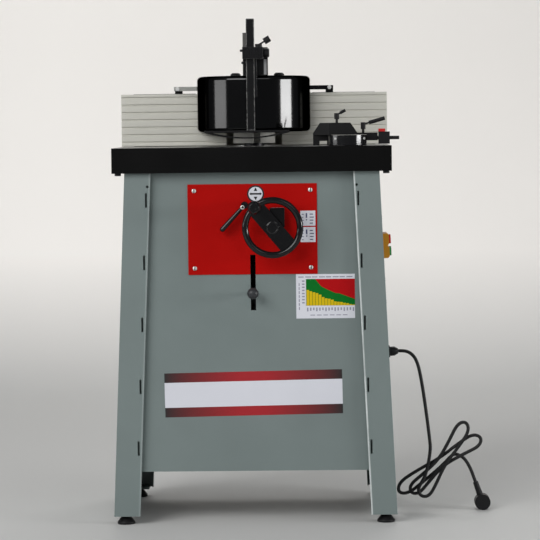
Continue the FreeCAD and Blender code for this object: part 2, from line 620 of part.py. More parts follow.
keep("motor", motor())
shaft_low = "pulley_bottom - motor_fin * 2"
motor_shaft = rod("z", "motor_shaft_radius", "motor_bottom + motor_shaft_radius * 1.5 - (%s)" % shaft_low,
                  "0", "motor_y", shaft_low)


def step_pulley(bore, low, high, y):
    """A two-speed pulley with a lip below, between and above its belt tracks."""
    rows = [(bore, "pulley_bottom")]
    level = "pulley_bottom"
    for radius in (low, high):
        lip = "%s + pulley_lip" % radius
        rows += [(lip, level), (lip, level + " + pulley_lip"), (radius, level + " + pulley_lip")]
        level += " + pulley_step"
        rows.append((radius, level))
    lip = "%s + pulley_lip" % high
    rows += [(lip, level), (lip, level + " + pulley_lip"), (bore, level + " + pulley_lip")]
    return turned(rows, "z", "0", y, "0")


keep("spindle_pulley", step_pulley("spindle_radius + seat_gap", "spindle_pulley_radius",
                                   "(spindle_pulley_radius + pulley_change)", "0"))
motor_pulley = step_pulley("motor_shaft_radius + seat_gap", "motor_pulley_radius",
                           "(motor_pulley_radius - pulley_change)", "motor_y")
keep("motor_shaft_and_pulley", group(motor_shaft, motor_pulley))


def belt_loop(offset):
    """The belt's line round both pulleys, that far outside their tracks, as one face."""
    small = size("spindle_pulley_radius") + size("side_gap") + offset
    large = size("motor_pulley_radius") + size("side_gap") + offset
    span = size("motor_y")
    lean = math.asin((large - small) / span)
    side = Vector(math.cos(lean), -math.sin(lean), 0)
    mirror = Vector(-side.x, side.y, 0)
    rear = Vector(0, span, 0)
    edges = [Part.LineSegment(side * small, rear + side * large).toShape(),
             Part.Arc(rear + side * large, rear + Vector(0, large, 0), rear + mirror * large).toShape(),
             Part.LineSegment(rear + mirror * large, mirror * small).toShape(),
             Part.Arc(mirror * small, Vector(0, -small, 0), side * small).toShape()]
    return Part.Face(Part.Wire(edges))


belt = doc.addObject("Part::Feature", "belt")
belt.Shape = belt_loop(size("belt_thick")).cut(belt_loop(0)).extrude(Vector(0, 0, size("belt_width")))
belt.Placement.Base = Vector(0, 0, size("pulley_bottom") + size("pulley_lip") + size("side_gap") * 2)
keep("drive_belt", belt)

# Spindle with its collars, cutter block and nut
spindle_outline = [("0", "spindle_bottom"), ("spindle_radius", "spindle_bottom"),
                   ("spindle_radius", "arbor_shoulder - shoulder_thick"),
                   ("shoulder_radius", "arbor_shoulder - shoulder_thick"),
                   ("shoulder_radius", "arbor_shoulder"), ("arbor_radius", "arbor_shoulder"),
                   ("arbor_radius", "arbor_top"), ("0", "arbor_top")]
keep("spindle", cut(turned(spindle_outline, "z", "0", "0", "0"),
                    rod("y", "lock_stem_radius + free_gap", "(spindle_radius + cut_over) * 2", "0",
                        "-spindle_radius - cut_over", "lock_z")))


def cutter_block():
    """The cutter block with a gullet before each knife seat."""
    block = ring("cutter_radius", "arbor_radius + seat_gap", "cutter_height", "0", "0", "cutter_bottom")
    gullets = []
    count = int(size("cutter_count"))
    for number in range(count):
        turn = 360.0 * number / count
        gullet = doc.addObject("Part::Box", "gullet")
        gullet.Placement = FreeCAD.Placement(Vector(), Rotation(Vector(0, 0, 1), turn))
        gullet.setExpression("Length", named("cutter_radius"))
        gullet.setExpression("Width", named("arbor_radius"))
        gullet.setExpression("Height", named("cutter_height + cut_over * 2"))
        reach = "(cutter_radius - arbor_radius)"
        gullets.append(put(gullet, "%s * cos(%s * 1deg)" % (reach, turn),
                           "%s * sin(%s * 1deg)" % (reach, turn), "cutter_bottom - cut_over"))
    return cut(block, *gullets)


collar_top = "arbor_top - arbor_nut_height - arbor_tip"
collar = ("collar_radius", "arbor_radius + seat_gap")
keep("cutter_block", cutter_block())
keep("arbor_collars", group(
    ring(*collar, "cutter_bottom - arbor_shoulder", "0", "0", "arbor_shoulder"),
    ring(*collar, collar_top + " - cutter_bottom - cutter_height", "0", "0", "cutter_bottom + cutter_height"),
    cut(hexagon("z", "arbor_nut_across", "arbor_nut_height", "0", "0", collar_top),
        rod("z", "arbor_radius + seat_gap", "arbor_nut_height * 3", "0", "0",
            collar_top + " - arbor_nut_height"))))


# Height controls on the front: handwheel, its handle and shaft, indicator, lock lever and lock knob
def handwheel():
    """A round rim on one broad spoke, with a hub behind it and a pin for the handle."""
    rim = doc.addObject("Part::Torus", "rim")
    rim.Placement = FreeCAD.Placement(Vector(), AXIS_TURN["y"])
    rim.setExpression("Radius1", named("wheel_ring"))
    rim.setExpression("Radius2", named("wheel_tube"))
    put(rim, "wheel_x", "-wheel_plane", "wheel_z")
    spoke = doc.addObject("Part::Box", "spoke")
    spoke.setExpression("Length", named("wheel_ring * 2"))
    spoke.setExpression("Width", named("wheel_spoke_thick"))
    spoke.setExpression("Height", named("wheel_spoke_width"))
    lean = "(wheel_spoke_angle * 1deg)"
    turn_about(spoke, Vector(0, -1, 0), "wheel_spoke_angle",
               "wheel_x - wheel_ring * cos(%s) + wheel_spoke_width / 2 * sin(%s)" % (lean, lean),
               "-spoke_front",
               "wheel_z - wheel_ring * sin(%s) - wheel_spoke_width / 2 * cos(%s)" % (lean, lean))
    hub = rod("y", "wheel_hub_radius", "wheel_hub_length", "wheel_x", "-spoke_front", "wheel_z")
    pin = rod("y", "handle_pin_radius", "handle_length + wheel_tube", "handle_x",
              "-rim_front - handle_length", "handle_z")
    bore = rod("y", "shaft_radius + seat_gap", "wheel_hub_length * 3", "wheel_x",
               "-spoke_front - wheel_hub_length", "wheel_z")
    return cut(fuse(rim, spoke, hub, pin), bore)


keep("handwheel", handwheel())
handle_bore = "handle_pin_radius + running_gap"
keep("wheel_handle", turned(
    [(handle_bore, "0"), ("handle_end_radius", "0"), ("handle_radius", "handle_crown"),
     ("handle_radius", "handle_belly"), ("handle_waist_radius", "handle_waist"),
     ("handle_end_radius", "handle_length - side_gap"), (handle_bore, "handle_length - side_gap")],
    "y", "handle_x", "-rim_front - handle_length", "handle_z"))
keep("wheel_shaft", rod("y", "shaft_radius", "spoke_front + (%s)" % shaft_end, "wheel_x", "-spoke_front",
                        "wheel_z"))
keep("shaft_bush", ring("bush_radius", "shaft_radius + running_gap", "bush_length", "wheel_x",
                        "-plate_front - bush_length", "wheel_z", "y"))
keep("position_indicator", cut(
    box("wheel_x - indicator_left", "wheel_x - indicator_left + indicator_width",
        "-plate_front - indicator_depth", "-plate_front", "wheel_z", "wheel_z + indicator_height"),
    rod("y", "wheel_hub_radius + free_gap", "indicator_depth * 3", "wheel_x",
        "-plate_front - indicator_depth * 2", "wheel_z")))


def lock_lever():
    """A hub on a stud through the panel, with a tapered arm and a rounded grip end."""
    lean = "(lever_angle * 1deg)"
    arm_y = "-plate_front - lever_arm_out"
    arm = doc.addObject("Part::Cone", "arm")
    arm.setExpression("Radius1", named("lever_arm_radius"))
    arm.setExpression("Radius2", named("lever_grip_radius"))
    arm.setExpression("Height", named("lever_reach"))
    turn_about(arm, Vector(0, 1, 0), "90 - lever_angle", "-lever_x", arm_y, "lever_z")
    grip = ball("lever_grip_radius", "lever_reach * cos(%s) - lever_x" % lean, arm_y,
                "lever_z + lever_reach * sin(%s)" % lean)
    hub = rod("y", "lever_hub_radius", "lever_hub_length - side_gap", "-lever_x",
              "-plate_front - lever_hub_length", "lever_z")
    stud = rod("y", "lever_stud_radius", "lever_hub_length + nut_height * 2", "-lever_x",
               "-plate_front - lever_hub_length / 2", "lever_z")
    return fuse(hub, stud, arm, grip)


keep("height_lock_lever", lock_lever())
panel_back = "panel_sheet - panel_front"
weld_nut = cut(hexagon("y", "nut_across", "nut_height", "-lever_x", panel_back, "lever_z"),
               rod("y", STUD_HOLE, "nut_height * 3", "-lever_x", panel_back + " - nut_height", "lever_z"))
keep("spindle_lock_knob", fuse(
    rod("y", "lock_stem_radius", "lock_ball_y - spindle_radius - lock_stem_radius / 3", "0", "-lock_ball_y",
        "lock_z"),
    ball("lock_ball_radius", "0", "-lock_ball_y", "lock_z")))


# Fence: extraction housing, side brackets and grooved boards
def board_outline():
    """A board's section: a front face with level grooves."""
    rows = []
    count = int(size("board_groove_count"))
    for number in range(count):
        middle = "board_bottom + board_height * %s" % ((number + 0.5) / count)
        low = middle + " - board_groove_width / 2"
        high = middle + " + board_groove_width / 2"
        rows += [("fence_face", low), ("fence_face + board_groove", low),
                 ("fence_face + board_groove", high), ("fence_face", high)]
    back = "fence_face + board_thick"
    return [("fence_face", "board_bottom")] + rows + [("fence_face", "board_top"), (back, "board_top"),
                                                      (back, "board_bottom")]


def fence_bracket(sign):
    """An upright plate beside the housing, with a foot on the table and an ear for the guard's arm."""
    plate = mirrored_box(sign, "housing_half", "bracket_reach", "fence_back", "bracket_back", "table_top",
                         "bracket_top")
    foot = mirrored_box(sign, "housing_half", "bracket_reach", "bracket_back - cut_over",
                        "bracket_back + bracket_foot_depth", "table_top", "table_top + bracket_foot")
    ear = mirrored_box(sign, "arm_reach - ear_width", "arm_reach", "fence_back", "bracket_back",
                       "bracket_top - cut_over", "arm_top")
    return fuse(plate, foot, ear)


def fence_housing():
    """The extraction box behind the boards, open at the front and below, with its hose port."""
    outer = box("-housing_half", "housing_half", "fence_back", "housing_rear", "table_top", "housing_top")
    inner = box("housing_sheet - housing_half", "housing_half - housing_sheet", "fence_back - cut_over",
                "housing_rear - housing_sheet", "table_top - cut_over", "housing_top - housing_sheet")
    port = rod("y", "port_radius", "port_length + cut_over", "0", "housing_rear - cut_over", "port_z")
    bore = rod("y", "port_radius - port_wall", "port_length * 3", "0", "housing_rear - port_length", "port_z")
    return cut(fuse(cut(outer, inner), port), bore)


keep("fence_housing", fence_housing())
keep("left_fence_board", prism("YZ_Plane", board_outline(), "-board_half", "-board_gap"))
keep("right_fence_board", prism("YZ_Plane", board_outline(), "board_gap", "board_half"))
keep("fence_brackets", group(fence_bracket("-"), fence_bracket("")))
bolt_span = ("housing_half + nut_across * 2", "bracket_reach - nut_across * 2")
fence_bolts = [hexagon("z", "nut_across", "nut_height", side + "(%s)" % x, "bracket_back + fence_bolt_back",
                       "table_top + bracket_foot") for side in ("-", "") for x in bolt_span]


# Guard hood over the cutter, with an arm each side to the fence brackets
def drum(radius, low, high, edge):
    """A turned drum with both its rims rounded."""
    body = turned([("0", low), (radius, low), (radius, high), ("0", high)], "z", "0", "0", "0")
    return soften(body, edge, lambda rim: isinstance(rim.Curve, Part.Circle))


def hood_arm(side):
    """A flat arm at the hood's side, with a stay behind its end that reaches the fence bracket's ear."""
    arm = mirrored_box(side, "hood_radius - hood_wall", "arm_reach", "-arm_front", "arm_thick - arm_front",
                       "arm_bottom", "arm_top")
    stay = rod("y", "stay_radius", "fence_back + arm_front - arm_thick / 2", side + "(arm_reach - arm_end)",
               "arm_thick / 2 - arm_front", "(arm_bottom + arm_top) / 2")
    return fuse(arm, stay)


def guard_hood():
    """Half of a shell with rounded rims, closed above, rolled in at its lower edge and open behind."""
    outer = drum("hood_radius", "hood_bottom", "hood_top", "hood_edge")
    inner = drum("hood_radius - hood_wall", "hood_bottom + hood_wall", "hood_top - hood_wall",
                 "hood_edge - hood_wall")
    mouth = rod("z", "hood_radius - hood_edge - hood_lip", "hood_edge * 2", "0", "0",
                "hood_bottom - hood_edge")
    front = box("-hood_radius * 2", "hood_radius * 2", "-hood_radius * 2", "hood_rear", "0", "hood_top * 2")
    return fuse(common(cut(outer, inner, mouth), front), hood_arm("-"), hood_arm(""))


keep("guard_hood", guard_hood())
guard_bolts = [hexagon("y", "arm_bolt_across", "arm_bolt_height", side + "(arm_reach - arm_end)",
                       "-arm_front - arm_bolt_height", "(arm_bottom + arm_top) / 2") for side in ("-", "")]
keep("bolts_and_nuts", group(*foot_nuts, *table_bolts, weld_nut, *fence_bolts, *guard_bolts))
cap_rows = [("0", "0"), ("cap_radius", "0"), ("cap_radius", "cap_rim"), ("cap_crown_radius", "cap_height"),
            ("0", "cap_height")]
keep("hood_caps", group(*[turned(cap_rows, "z", x, "-cap_front", "hood_top")
                          for x in ("-cap_left", "cap_right")]))

# Pressure device: post and clamp on the hood, sliding bar, sprung shoe and two clamps
clamp_y = "-(bar_front + bar_rear) / 2"
clamp_z = "(clamp_bottom + post_top) / 2"
clamp_x = "clamp_right - clamp_lever_radius - guide_wall / 2"


def stud_hole(x, y, seat):
    """The blind hole in a lever's seat for its stud."""
    depth = "lever_stud_depth + free_gap"
    return rod("z", "lever_stem_radius + running_gap", depth + " + cut_over", x, y,
               "%s - (%s)" % (seat, depth))


def pressure_post():
    """The casting that stands on the hood and guides the bar down its front."""
    side = "side_gap + guide_wall"
    solid = fuse(
        box("-post_left", "post_right", "-post_front", "-post_rear", "hood_top", "post_top"),
        box("-post_left", "scale_strip - post_left", "-post_front", "scale_strip - post_front",
            "post_top - cut_over", "scale_top"),
        box("-post_left", "clamp_right", "-clamp_front", "cut_over - post_front", "clamp_bottom", "post_top"),
        box("-bar_left - " + side, "bar_right + " + side, "-bar_front", "-post_rear", "guide_bottom",
            "clamp_bottom + cut_over"))
    channel = box("-bar_left - side_gap", "bar_right + side_gap", "-bar_front - side_gap",
                  "side_gap - bar_rear", "guide_bottom - cut_over", "scale_top")
    return cut(solid, channel,
               rod("z", "hood_radius + running_gap", "hood_top - guide_bottom + cut_over", "0", "0",
                   "guide_bottom - cut_over"),
               rod("x", "bar_stud_radius + running_gap", "clamp_right", "bar_right", clamp_y, clamp_z),
               stud_hole(clamp_x, clamp_y, "post_top"))


def pressure_shoe():
    """A flat chord with a thin bow below it, closed at both ends, as one bent strip."""
    middle, top = -size("shoe_x"), size("bar_bottom")
    left, right = middle - size("shoe_half"), middle + size("shoe_half")
    chord, bow = top - size("shoe_chord"), size("shoe_bow")
    low = top - size("shoe_drop")
    front = -size("bar_front") - size("shoe_proud")

    def at(x, z):
        return Vector(x, front, z)

    outer = Part.Wire([Part.LineSegment(at(left, top), at(right, top)).toShape(),
                       Part.LineSegment(at(right, top), at(right, chord)).toShape(),
                       Part.Arc(at(right, chord), at(middle, low), at(left, chord)).toShape(),
                       Part.LineSegment(at(left, chord), at(left, top)).toShape()])
    gap_left, gap_right = left + size("shoe_end"), right - size("shoe_end")
    inner = Part.Wire([Part.LineSegment(at(gap_left, chord), at(gap_right, chord)).toShape(),
                       Part.Arc(at(gap_right, chord), at(middle, low + bow), at(gap_left, chord)).toShape()])
    face = Part.Face(outer).cut(Part.Face(inner))
    return face.extrude(Vector(0, size("shoe_width"), 0))


keep("pressure_post", pressure_post())
keep("pressure_bar", box("-bar_left", "bar_right", "-bar_front", "-bar_rear", "bar_bottom", "bar_top"))
shoe = doc.addObject("Part::Feature", "shoe")
shoe.Shape = pressure_shoe()
keep("pressure_shoe", shoe)
knob_rows = [("0", "0"), ("bar_stud_radius", "0"), ("bar_stud_radius", "clamp_right - bar_right"),
             ("bar_knob_radius - bar_knob_edge", "clamp_right - bar_right"),
             ("bar_knob_radius", "clamp_right - bar_right + bar_knob_edge"),
             ("bar_knob_radius", "clamp_right - bar_right + bar_knob_length - bar_knob_edge"),
             ("bar_knob_radius - bar_knob_edge", "clamp_right - bar_right + bar_knob_length"),
             ("0", "clamp_right - bar_right + bar_knob_length")]
keep("bar_clamp_knob", turned(knob_rows, "x", "bar_right + side_gap", clamp_y, clamp_z))


def clamp_lever(x, y, seat, name, stem):
    """A clamp lever: a stud in the seat, a hub on its stem, a slanted rod towards +X and a grip on it."""
    radius, height = name + "_radius", name + "_hub"
    reach, rise = name + "_reach", name + "_rise"
    grip = name.replace("lever", "grip")
    hub_low = "%s + %s" % (seat, stem)
    hub = rod("z", radius, height, x, y, hub_low)
    stud = rod("z", "lever_stem_radius", "lever_stud_depth + %s + %s / 2" % (stem, height), x, y,
               seat + " - lever_stud_depth")
    lean = "atan(%s / %s)" % (reach, rise)
    length = "sqrt(%s ^ 2 + %s ^ 2)" % (reach, rise)
    pieces = [hub, stud]
    grip_start = "(%s - %s_length)" % (length, grip)
    for thickness, begin, extent in (("clamp_rod_radius", "0", length),
                                     (grip + "_radius", grip_start, grip + "_length")):
        piece = doc.addObject("Part::Cylinder", "lever_rod")
        piece.setExpression("Radius", named(thickness))
        piece.setExpression("Height", named(extent))
        pieces.append(turn_about(piece, Vector(0, 1, 0), lean, "%s + %s * sin(%s)" % (x, begin, lean), y,
                                 "%s + %s * 0.7 + %s * cos(%s)" % (hub_low, height, begin, lean)))
    return fuse(*pieces)


keep("bar_clamp_lever", clamp_lever(clamp_x, clamp_y, "post_top", "clamp_lever", "side_gap"))

# Mitre gauge in the table slot: a bar with a pin, and on it a half drum with head, fence and stop
keep("mitre_bar", fuse(
    box("mitre_bar_left", "mitre_bar_right", "side_gap - mitre_slot_y - mitre_slot_width / 2",
        "mitre_slot_width / 2 - side_gap - mitre_slot_y", "table_top - mitre_slot_depth + side_gap",
        "mitre_top"),
    rod("z", "swivel_radius", "swivel_height + cut_over", "mitre_x", "-mitre_slot_y",
        "mitre_top - cut_over")))
small_lever = ("small_lever_x", "-mitre_slot_y", "head_top")
large_lever = ("large_lever_x", "-stop_y", "mitre_fence_top")


def mitre_protractor():
    """A half drum on the bar's pin, with a flat back for the fence."""
    reach = "protractor_radius * 2"
    behind = box("mitre_x - " + reach, "mitre_x + " + reach, "-mitre_fence_front",
                 reach + " - mitre_fence_front", "mitre_low - cut_over", "head_bottom + cut_over")
    bore = rod("z", "swivel_radius + running_gap", "swivel_height + free_gap + cut_over", "mitre_x",
               "-mitre_slot_y", "mitre_low - cut_over")
    return cut(rod("z", "protractor_radius", "protractor_thick", "mitre_x", "-mitre_slot_y", "mitre_low"),
               behind, bore)


def mitre_head():
    """A block with sloping ends on the half drum, with a facet across its front left corner."""
    rows = [("head_x - head_half_bottom", "head_bottom"), ("head_x + head_half_bottom", "head_bottom"),
            ("head_x + head_half_top", "head_top"), ("head_x - head_half_top", "head_top")]
    block = prism("XZ_Plane", rows, "-mitre_slot_y - head_half_depth", "head_half_depth - mitre_slot_y")
    facet = doc.addObject("Part::Box", "facet")
    for side in ("Length", "Width"):
        facet.setExpression(side, named("head_half_bottom * 2"))
    facet.setExpression("Height", named("head_height + cut_over * 2"))
    turn_about(facet, Vector(0, 0, 1), "180 - head_facet_angle", "head_x - head_half_top + head_facet",
               "-mitre_slot_y - head_half_depth", "head_bottom - cut_over")
    return cut(block, facet, stud_hole(*small_lever))


def mitre_fence():
    """A bar behind the half drum, with a foot at its left end and a bore for the stop's rod."""
    depth = ("-mitre_fence_front", "-mitre_fence_back")
    bar = box("mitre_fence_left", "mitre_fence_right", *depth, "mitre_fence_bottom", "mitre_fence_top")
    foot = box("mitre_fence_left", "mitre_fence_left + mitre_foot_width", *depth, "mitre_low",
               "mitre_low + mitre_foot_height")
    bore = rod("x", "stop_rod_radius + running_gap", "mitre_fence_right", "large_lever_x - stop_width",
               "-stop_y", "stop_z")
    return cut(fuse(bar, foot), bore, stud_hole(*large_lever))


keep("mitre_protractor", mitre_protractor())
keep("mitre_head", mitre_head())
keep("mitre_fence", mitre_fence())
keep("mitre_small_lever", clamp_lever(*small_lever, "small_lever", "small_lever_stem"))
keep("mitre_large_lever", clamp_lever(*large_lever, "large_lever", "large_lever_stem"))
stop_left = "mitre_fence_right + stop_gap"
stop_rod = rod("x", "stop_rod_radius", "stop_rod_end - large_lever_x + stop_width / 2",
               "large_lever_x - stop_width / 2", "-stop_y", "stop_z")
stop_block = box(stop_left, stop_left + " + stop_width", "-stop_y - stop_depth / 2",
                 "stop_depth / 2 - stop_y", "stop_z - stop_height / 2", "stop_z + stop_height / 2")
stop_bore = rod("x", "stop_rod_radius + seat_gap", "stop_width * 3", stop_left + " - stop_width", "-stop_y",
                "stop_z")
keep("mitre_stop", group(stop_rod, cut(stop_block, stop_bore)))
keep("stop_flag", box(stop_left, stop_left + " + flag_width", "-stop_y - flag_depth / 2",
                      "flag_depth / 2 - stop_y", "stop_z + stop_height / 2",
                      "stop_z + stop_height / 2 + flag_height"))


# Switch on the right side wall, square to the splayed sheet
def on_wall(obj, local_x, local_y, local_z, foot_z, along_x=False):
    """Place an object on the right wall, its X square to the sheet and its Z up the slope."""
    wall_x = half_at("(%s)" % foot_z)
    x = "%s + (%s) * cos(splay) - (%s) * sin(splay)" % (wall_x, local_x, local_z)
    z = "%s + (%s) * sin(splay) + (%s) * cos(splay)" % (foot_z, local_x, local_z)
    if along_x:
        return turn_about(obj, Vector(0, 1, 0), "90deg - splay", x, local_y, z)
    return turn_about(obj, Vector(0, -1, 0), "splay", x, local_y, z)


def wall_rod(radius, length, local_x, local_y, local_z, foot_z):
    """A cylinder square to the right wall."""
    obj = doc.addObject("Part::Cylinder", "wall_rod")
    obj.setExpression("Radius", named(radius))
    obj.setExpression("Height", named(length))
    return on_wall(obj, local_x, local_y, local_z, foot_z, along_x=True)


def switch_housing():
    """Two moulded blocks, one above the other, with chamfered ends and a well for each button."""
    half = "switch_height / 2"
    face = "switch_depth"
    rim = "switch_depth - switch_chamfer"
    rows = [("0", "0"), (rim, "0"), (face, "switch_chamfer"), (face, half + " - switch_chamfer"), (rim, half),
            (face, half + " + switch_chamfer"), (face, "switch_height - switch_chamfer"),
            (rim, "switch_height"), ("0", "switch_height")]
    shell = prism("XZ_Plane", rows, "-switch_y - switch_width / 2", "switch_width / 2 - switch_y")
    wells = [wall_rod("button_radius + side_gap", "switch_depth", button_bed + " - button_travel - side_gap",
                      "-switch_y", z, switch_foot) for z in buttons.values()]
    return cut(on_wall(shell, "0", "0", "0", switch_foot), *wells)


switch_foot = "switch_z - switch_height / 2"
button_bed = "switch_depth - button_proud - button_travel"
buttons = {"stop_button": "switch_height - button_inset", "start_button": "button_inset"}
keep("switch_housing", switch_housing())
for label, z in buttons.items():
    keep(label, wall_rod("button_radius", "button_proud * 2 + button_travel", button_bed, "-switch_y", z,
                         switch_foot))
gland_rows = [("0", "0"), ("gland_flange_radius", "0"), ("gland_flange_radius", "gland_flange"),
              ("gland_radius", "gland_flange"), ("gland_radius", "gland_shoulder"),
              ("cord_diameter / 2 + sleeve_wall", "gland_length"), ("0", "gland_length")]
keep("cable_gland", on_wall(turned(gland_rows, "z", "0", "0", "0"), "0", "-gland_y", "0", "gland_z",
                            along_x=True))


# Mains cord: a free stretch from the gland, a tied hank and a tail to the plug
def tangent_route(points):
    """Straight runs joined by tangent arcs, each as large as its two runs allow."""
    edges, radii = [], []
    start = points[0]
    for before, here, after in zip(points, points[1:], points[2:]):
        back, ahead = (before - here), (after - here)
        turn = math.pi - back.getAngle(ahead)
        reach = 0.45 * min(back.Length, ahead.Length)
        radii.append(reach / math.tan(turn / 2))
        back.normalize()
        ahead.normalize()
        first, last = here + back * reach, here + ahead * reach
        inward = (back + ahead).normalize()
        crest = here + inward * (radii[-1] / math.cos(turn / 2) - radii[-1])
        edges += [Part.LineSegment(start, first).toShape(), Part.Arc(first, crest, last).toShape()]
        start = last
    edges.append(Part.LineSegment(start, points[-1]).toShape())
    return edges, radii


def sweep_cord(edges):
    """The cord's round section swept along edges that meet tangentially."""
    path = Part.Wire(edges)
    start = edges[0].Curve.value(edges[0].FirstParameter)
    ahead = edges[0].tangentAt(edges[0].FirstParameter)
    section = Part.Wire(Part.Circle(start, ahead, size("cord_diameter") / 2).toShape())
    tube = path.makePipeShell([section], True, False)
    ideal = path.Length * math.pi * size("cord_diameter") ** 2 / 4
    print("cord stretch: length %.1f mm, volume over section times length %.4f"
          % (path.Length, tube.Volume / ideal))
    return tube


def cord_point(x, depth, z):
    """A point beside the machine, that far behind the gland's own plane."""
    return Vector(x, depth - size("gland_y"), z)


splay_angle = math.radians(size("splay"))
square = Vector(math.cos(splay_angle), 0, math.sin(splay_angle))
exit_point = cord_point(size("gland_x"), 0, size("gland_z")) + square * size("gland_length")
FIRST_RUN = 14
FREE_ROUTE = [(364, 0, 378.2), (375, -0.3, 368), (382.5, -1, 352), (388, -2.2, 329), (393, -4, 300),
              (397.6, -6, 268), (401.7, -8, 236), (405.6, -10, 204), (409, -11.7, 174), (411.5, -13, 147)]
TAIL_ROUTE = [(466, 19, 134), (481.5, 19, 130.1), (494, 19, 120.3), (503.5, 19, 105), (511.5, 19, 86.5),
              (518.5, 19, 66)]
free_route = [exit_point, exit_point + square * FIRST_RUN] + [cord_point(*pair) for pair in FREE_ROUTE]
tail_route = [cord_point(*pair) for pair in TAIL_ROUTE]
# The hank: where its waist is, and the lean in degrees and reach of each loop in turn
HANK_CENTRE = (438, 117)
HANK_LOOPS = [(58, 96), (58.6, 113), (45, 105), (31, 111), (35, 128)]
HANK_WAIST, HANK_BULGE, HANK_PITCH = 9, 34, 9.5
HANK_STEP = 30
for label, route in (("mains_cord", free_route), ("cord_tail", tail_route)):
    route_edges, route_radii = tangent_route(route)
    print(label, "bend radii:", " ".join("%.0f" % radius for radius in route_radii))
    cord = doc.addObject("Part::Feature", label)
    cord.Shape = sweep_cord(route_edges)
    keep(label, cord)


def hank_point(angle):
    """A point of the hank's line: loops drawn in at the waist, each with its own lean and reach."""
    loop = (angle - 180) / 180
    last = len(HANK_LOOPS) - 1
    low = min(max(int(math.floor(loop)), 0), last)
    high = min(low + 1, last)
    share = min(max(loop - low, 0), 1)
    share = share * share * (3 - 2 * share)
    lean, reach = [a + (b - a) * share for a, b in zip(HANK_LOOPS[low], HANK_LOOPS[high])]
    turn = math.radians(angle)
    along = reach * math.cos(turn)
    across = math.sin(turn) * (HANK_WAIST + HANK_BULGE * math.cos(turn) ** 2)
    lean = math.radians(lean)
    depth = HANK_PITCH * (angle / 360 - (len(HANK_LOOPS) + 1) / 4)
    return cord_point(HANK_CENTRE[0] + along * math.cos(lean) - across * math.sin(lean), depth,
                      HANK_CENTRE[1] + along * math.sin(lean) + across * math.cos(lean))


def biarc(start, start_way, end, end_way):
    """Two arcs that leave one point and reach another along the given directions."""
    gap = end - start
    both = start_way + end_way
    a = 2 * (1 - start_way.dot(end_way))
    b = 2 * gap.dot(both)
    c = -gap.dot(gap)
    reach = (-b + math.sqrt(b * b - 4 * a * c)) / (2 * a) if a > 1e-9 else -c / b
    joint = (start + start_way * reach + end - end_way * reach) * 0.5
    middle_way = (end - end_way * reach - start - start_way * reach).normalize()
    edges = []
    for point, way, target in ((start, start_way, joint), (joint, middle_way, end)):
        chord = target - point
        if way.getAngle(chord) < 1e-6:
            edges.append(Part.LineSegment(point, target).toShape())
            continue
        side = (way - chord * (way.dot(chord) / chord.dot(chord))).normalize()
        half = way.getAngle(chord) / 2
        crest = point + chord * 0.5 + side * (chord.Length / 2 * math.tan(half))
        edges.append(Part.Arc(point, crest, target).toShape())
    return edges


def hank():
    """The hank as one unbroken tube between the free stretch and the tail."""
    diameter = size("cord_diameter")
    way_in = (free_route[-1] - free_route[-2]).normalize()
    way_out = (tail_route[1] - tail_route[0]).normalize()
    knots = [(free_route[-1] + way_in * diameter, way_in)]
    first, last = 120, 180 * len(HANK_LOOPS) + 90
    for angle in range(first, last + 1, HANK_STEP):
        way = (hank_point(angle + 0.5) - hank_point(angle - 0.5)).normalize()
        knots.append((hank_point(angle), way))
    knots.append((tail_route[0] - way_out * diameter, way_out))
    edges = [Part.LineSegment(free_route[-1], knots[0][0]).toShape()]
    for (start, start_way), (end, end_way) in zip(knots, knots[1:]):
        edges += biarc(start, start_way, end, end_way)
    edges.append(Part.LineSegment(knots[-1][0], tail_route[0]).toShape())
    return edges


def least_gap(edges):
    """The least clear distance between stretches of the tube that aren't neighbours."""
    points, travelled = [], 0
    for edge in edges:
        count = max(2, int(edge.Length / 2))
        along = edge.discretize(count + 1)[:-1]
        points += [(travelled + edge.Length * i / count, point) for i, point in enumerate(along)]
        travelled += edge.Length
    apart = 6 * size("cord_diameter")
    pairs = ((p - q).Length for i, (s, p) in enumerate(points) for t, q in points[:i] if s - t > apart)
    return min(pairs) - size("cord_diameter")


hank_edges = hank()
print("cord_hank least gap to itself: %.2f mm" % least_gap(hank_edges))
hank_tube = doc.addObject("Part::Feature", "cord_hank")
hank_tube.Shape = sweep_cord(hank_edges)
keep("cord_hank", hank_tube)


def mains_plug():
    """A round plug standing on its rim, with a tapered sleeve at the cord and two pins behind."""
    end = tail_route[-1]
    way = (end - tail_route[-2]).normalize()
    radius, thick = size("plug_radius"), size("plug_thick")
    centre = end + way * ((radius - end.z) / way.z)
    front = Vector(0, -thick / 2, 0)
    body = Part.makeCylinder(radius, thick, centre + front, Vector(0, 1, 0))
    sleeve = Part.makeCone(size("cord_diameter") / 2 + size("sleeve_wall"), size("cord_diameter"),
                           (centre - end).Length - radius / 2, end, way)
    shape = body.fuse(sleeve)
    for side in (-0.5, 0.5):
        foot = centre - front + Vector(side * size("pin_spacing"), -size("cut_over"), 0)
        length = size("pin_length") + size("cut_over")
        shape = shape.fuse(Part.makeCylinder(size("pin_radius"), length, foot, Vector(0, 1, 0)))
    return shape.removeSplitter()


plug = doc.addObject("Part::Feature", "plug")
plug.Shape = mains_plug()
keep("mains_plug", plug)


def check_and_write():
    """Stop on any object or sub-part that failed, then write each sub-part to its file."""
    doc.recompute()
    failed = [item.Name for item in doc.Objects if {"Invalid", "Error"} & set(item.State)]
    broken = [item.Label for item in SUBPARTS if item.Shape.isNull() or not item.Shape.isValid()]
    if failed or broken:
        raise RuntimeError("failed objects: %s; broken sub-parts: %s" % (failed, broken))
    os.makedirs("parts", exist_ok=True)
    for item in SUBPARTS:
        item.Shape.exportStep("parts/%s.step" % item.Label)
    print(len(SUBPARTS), "sub-parts written")


check_and_write()
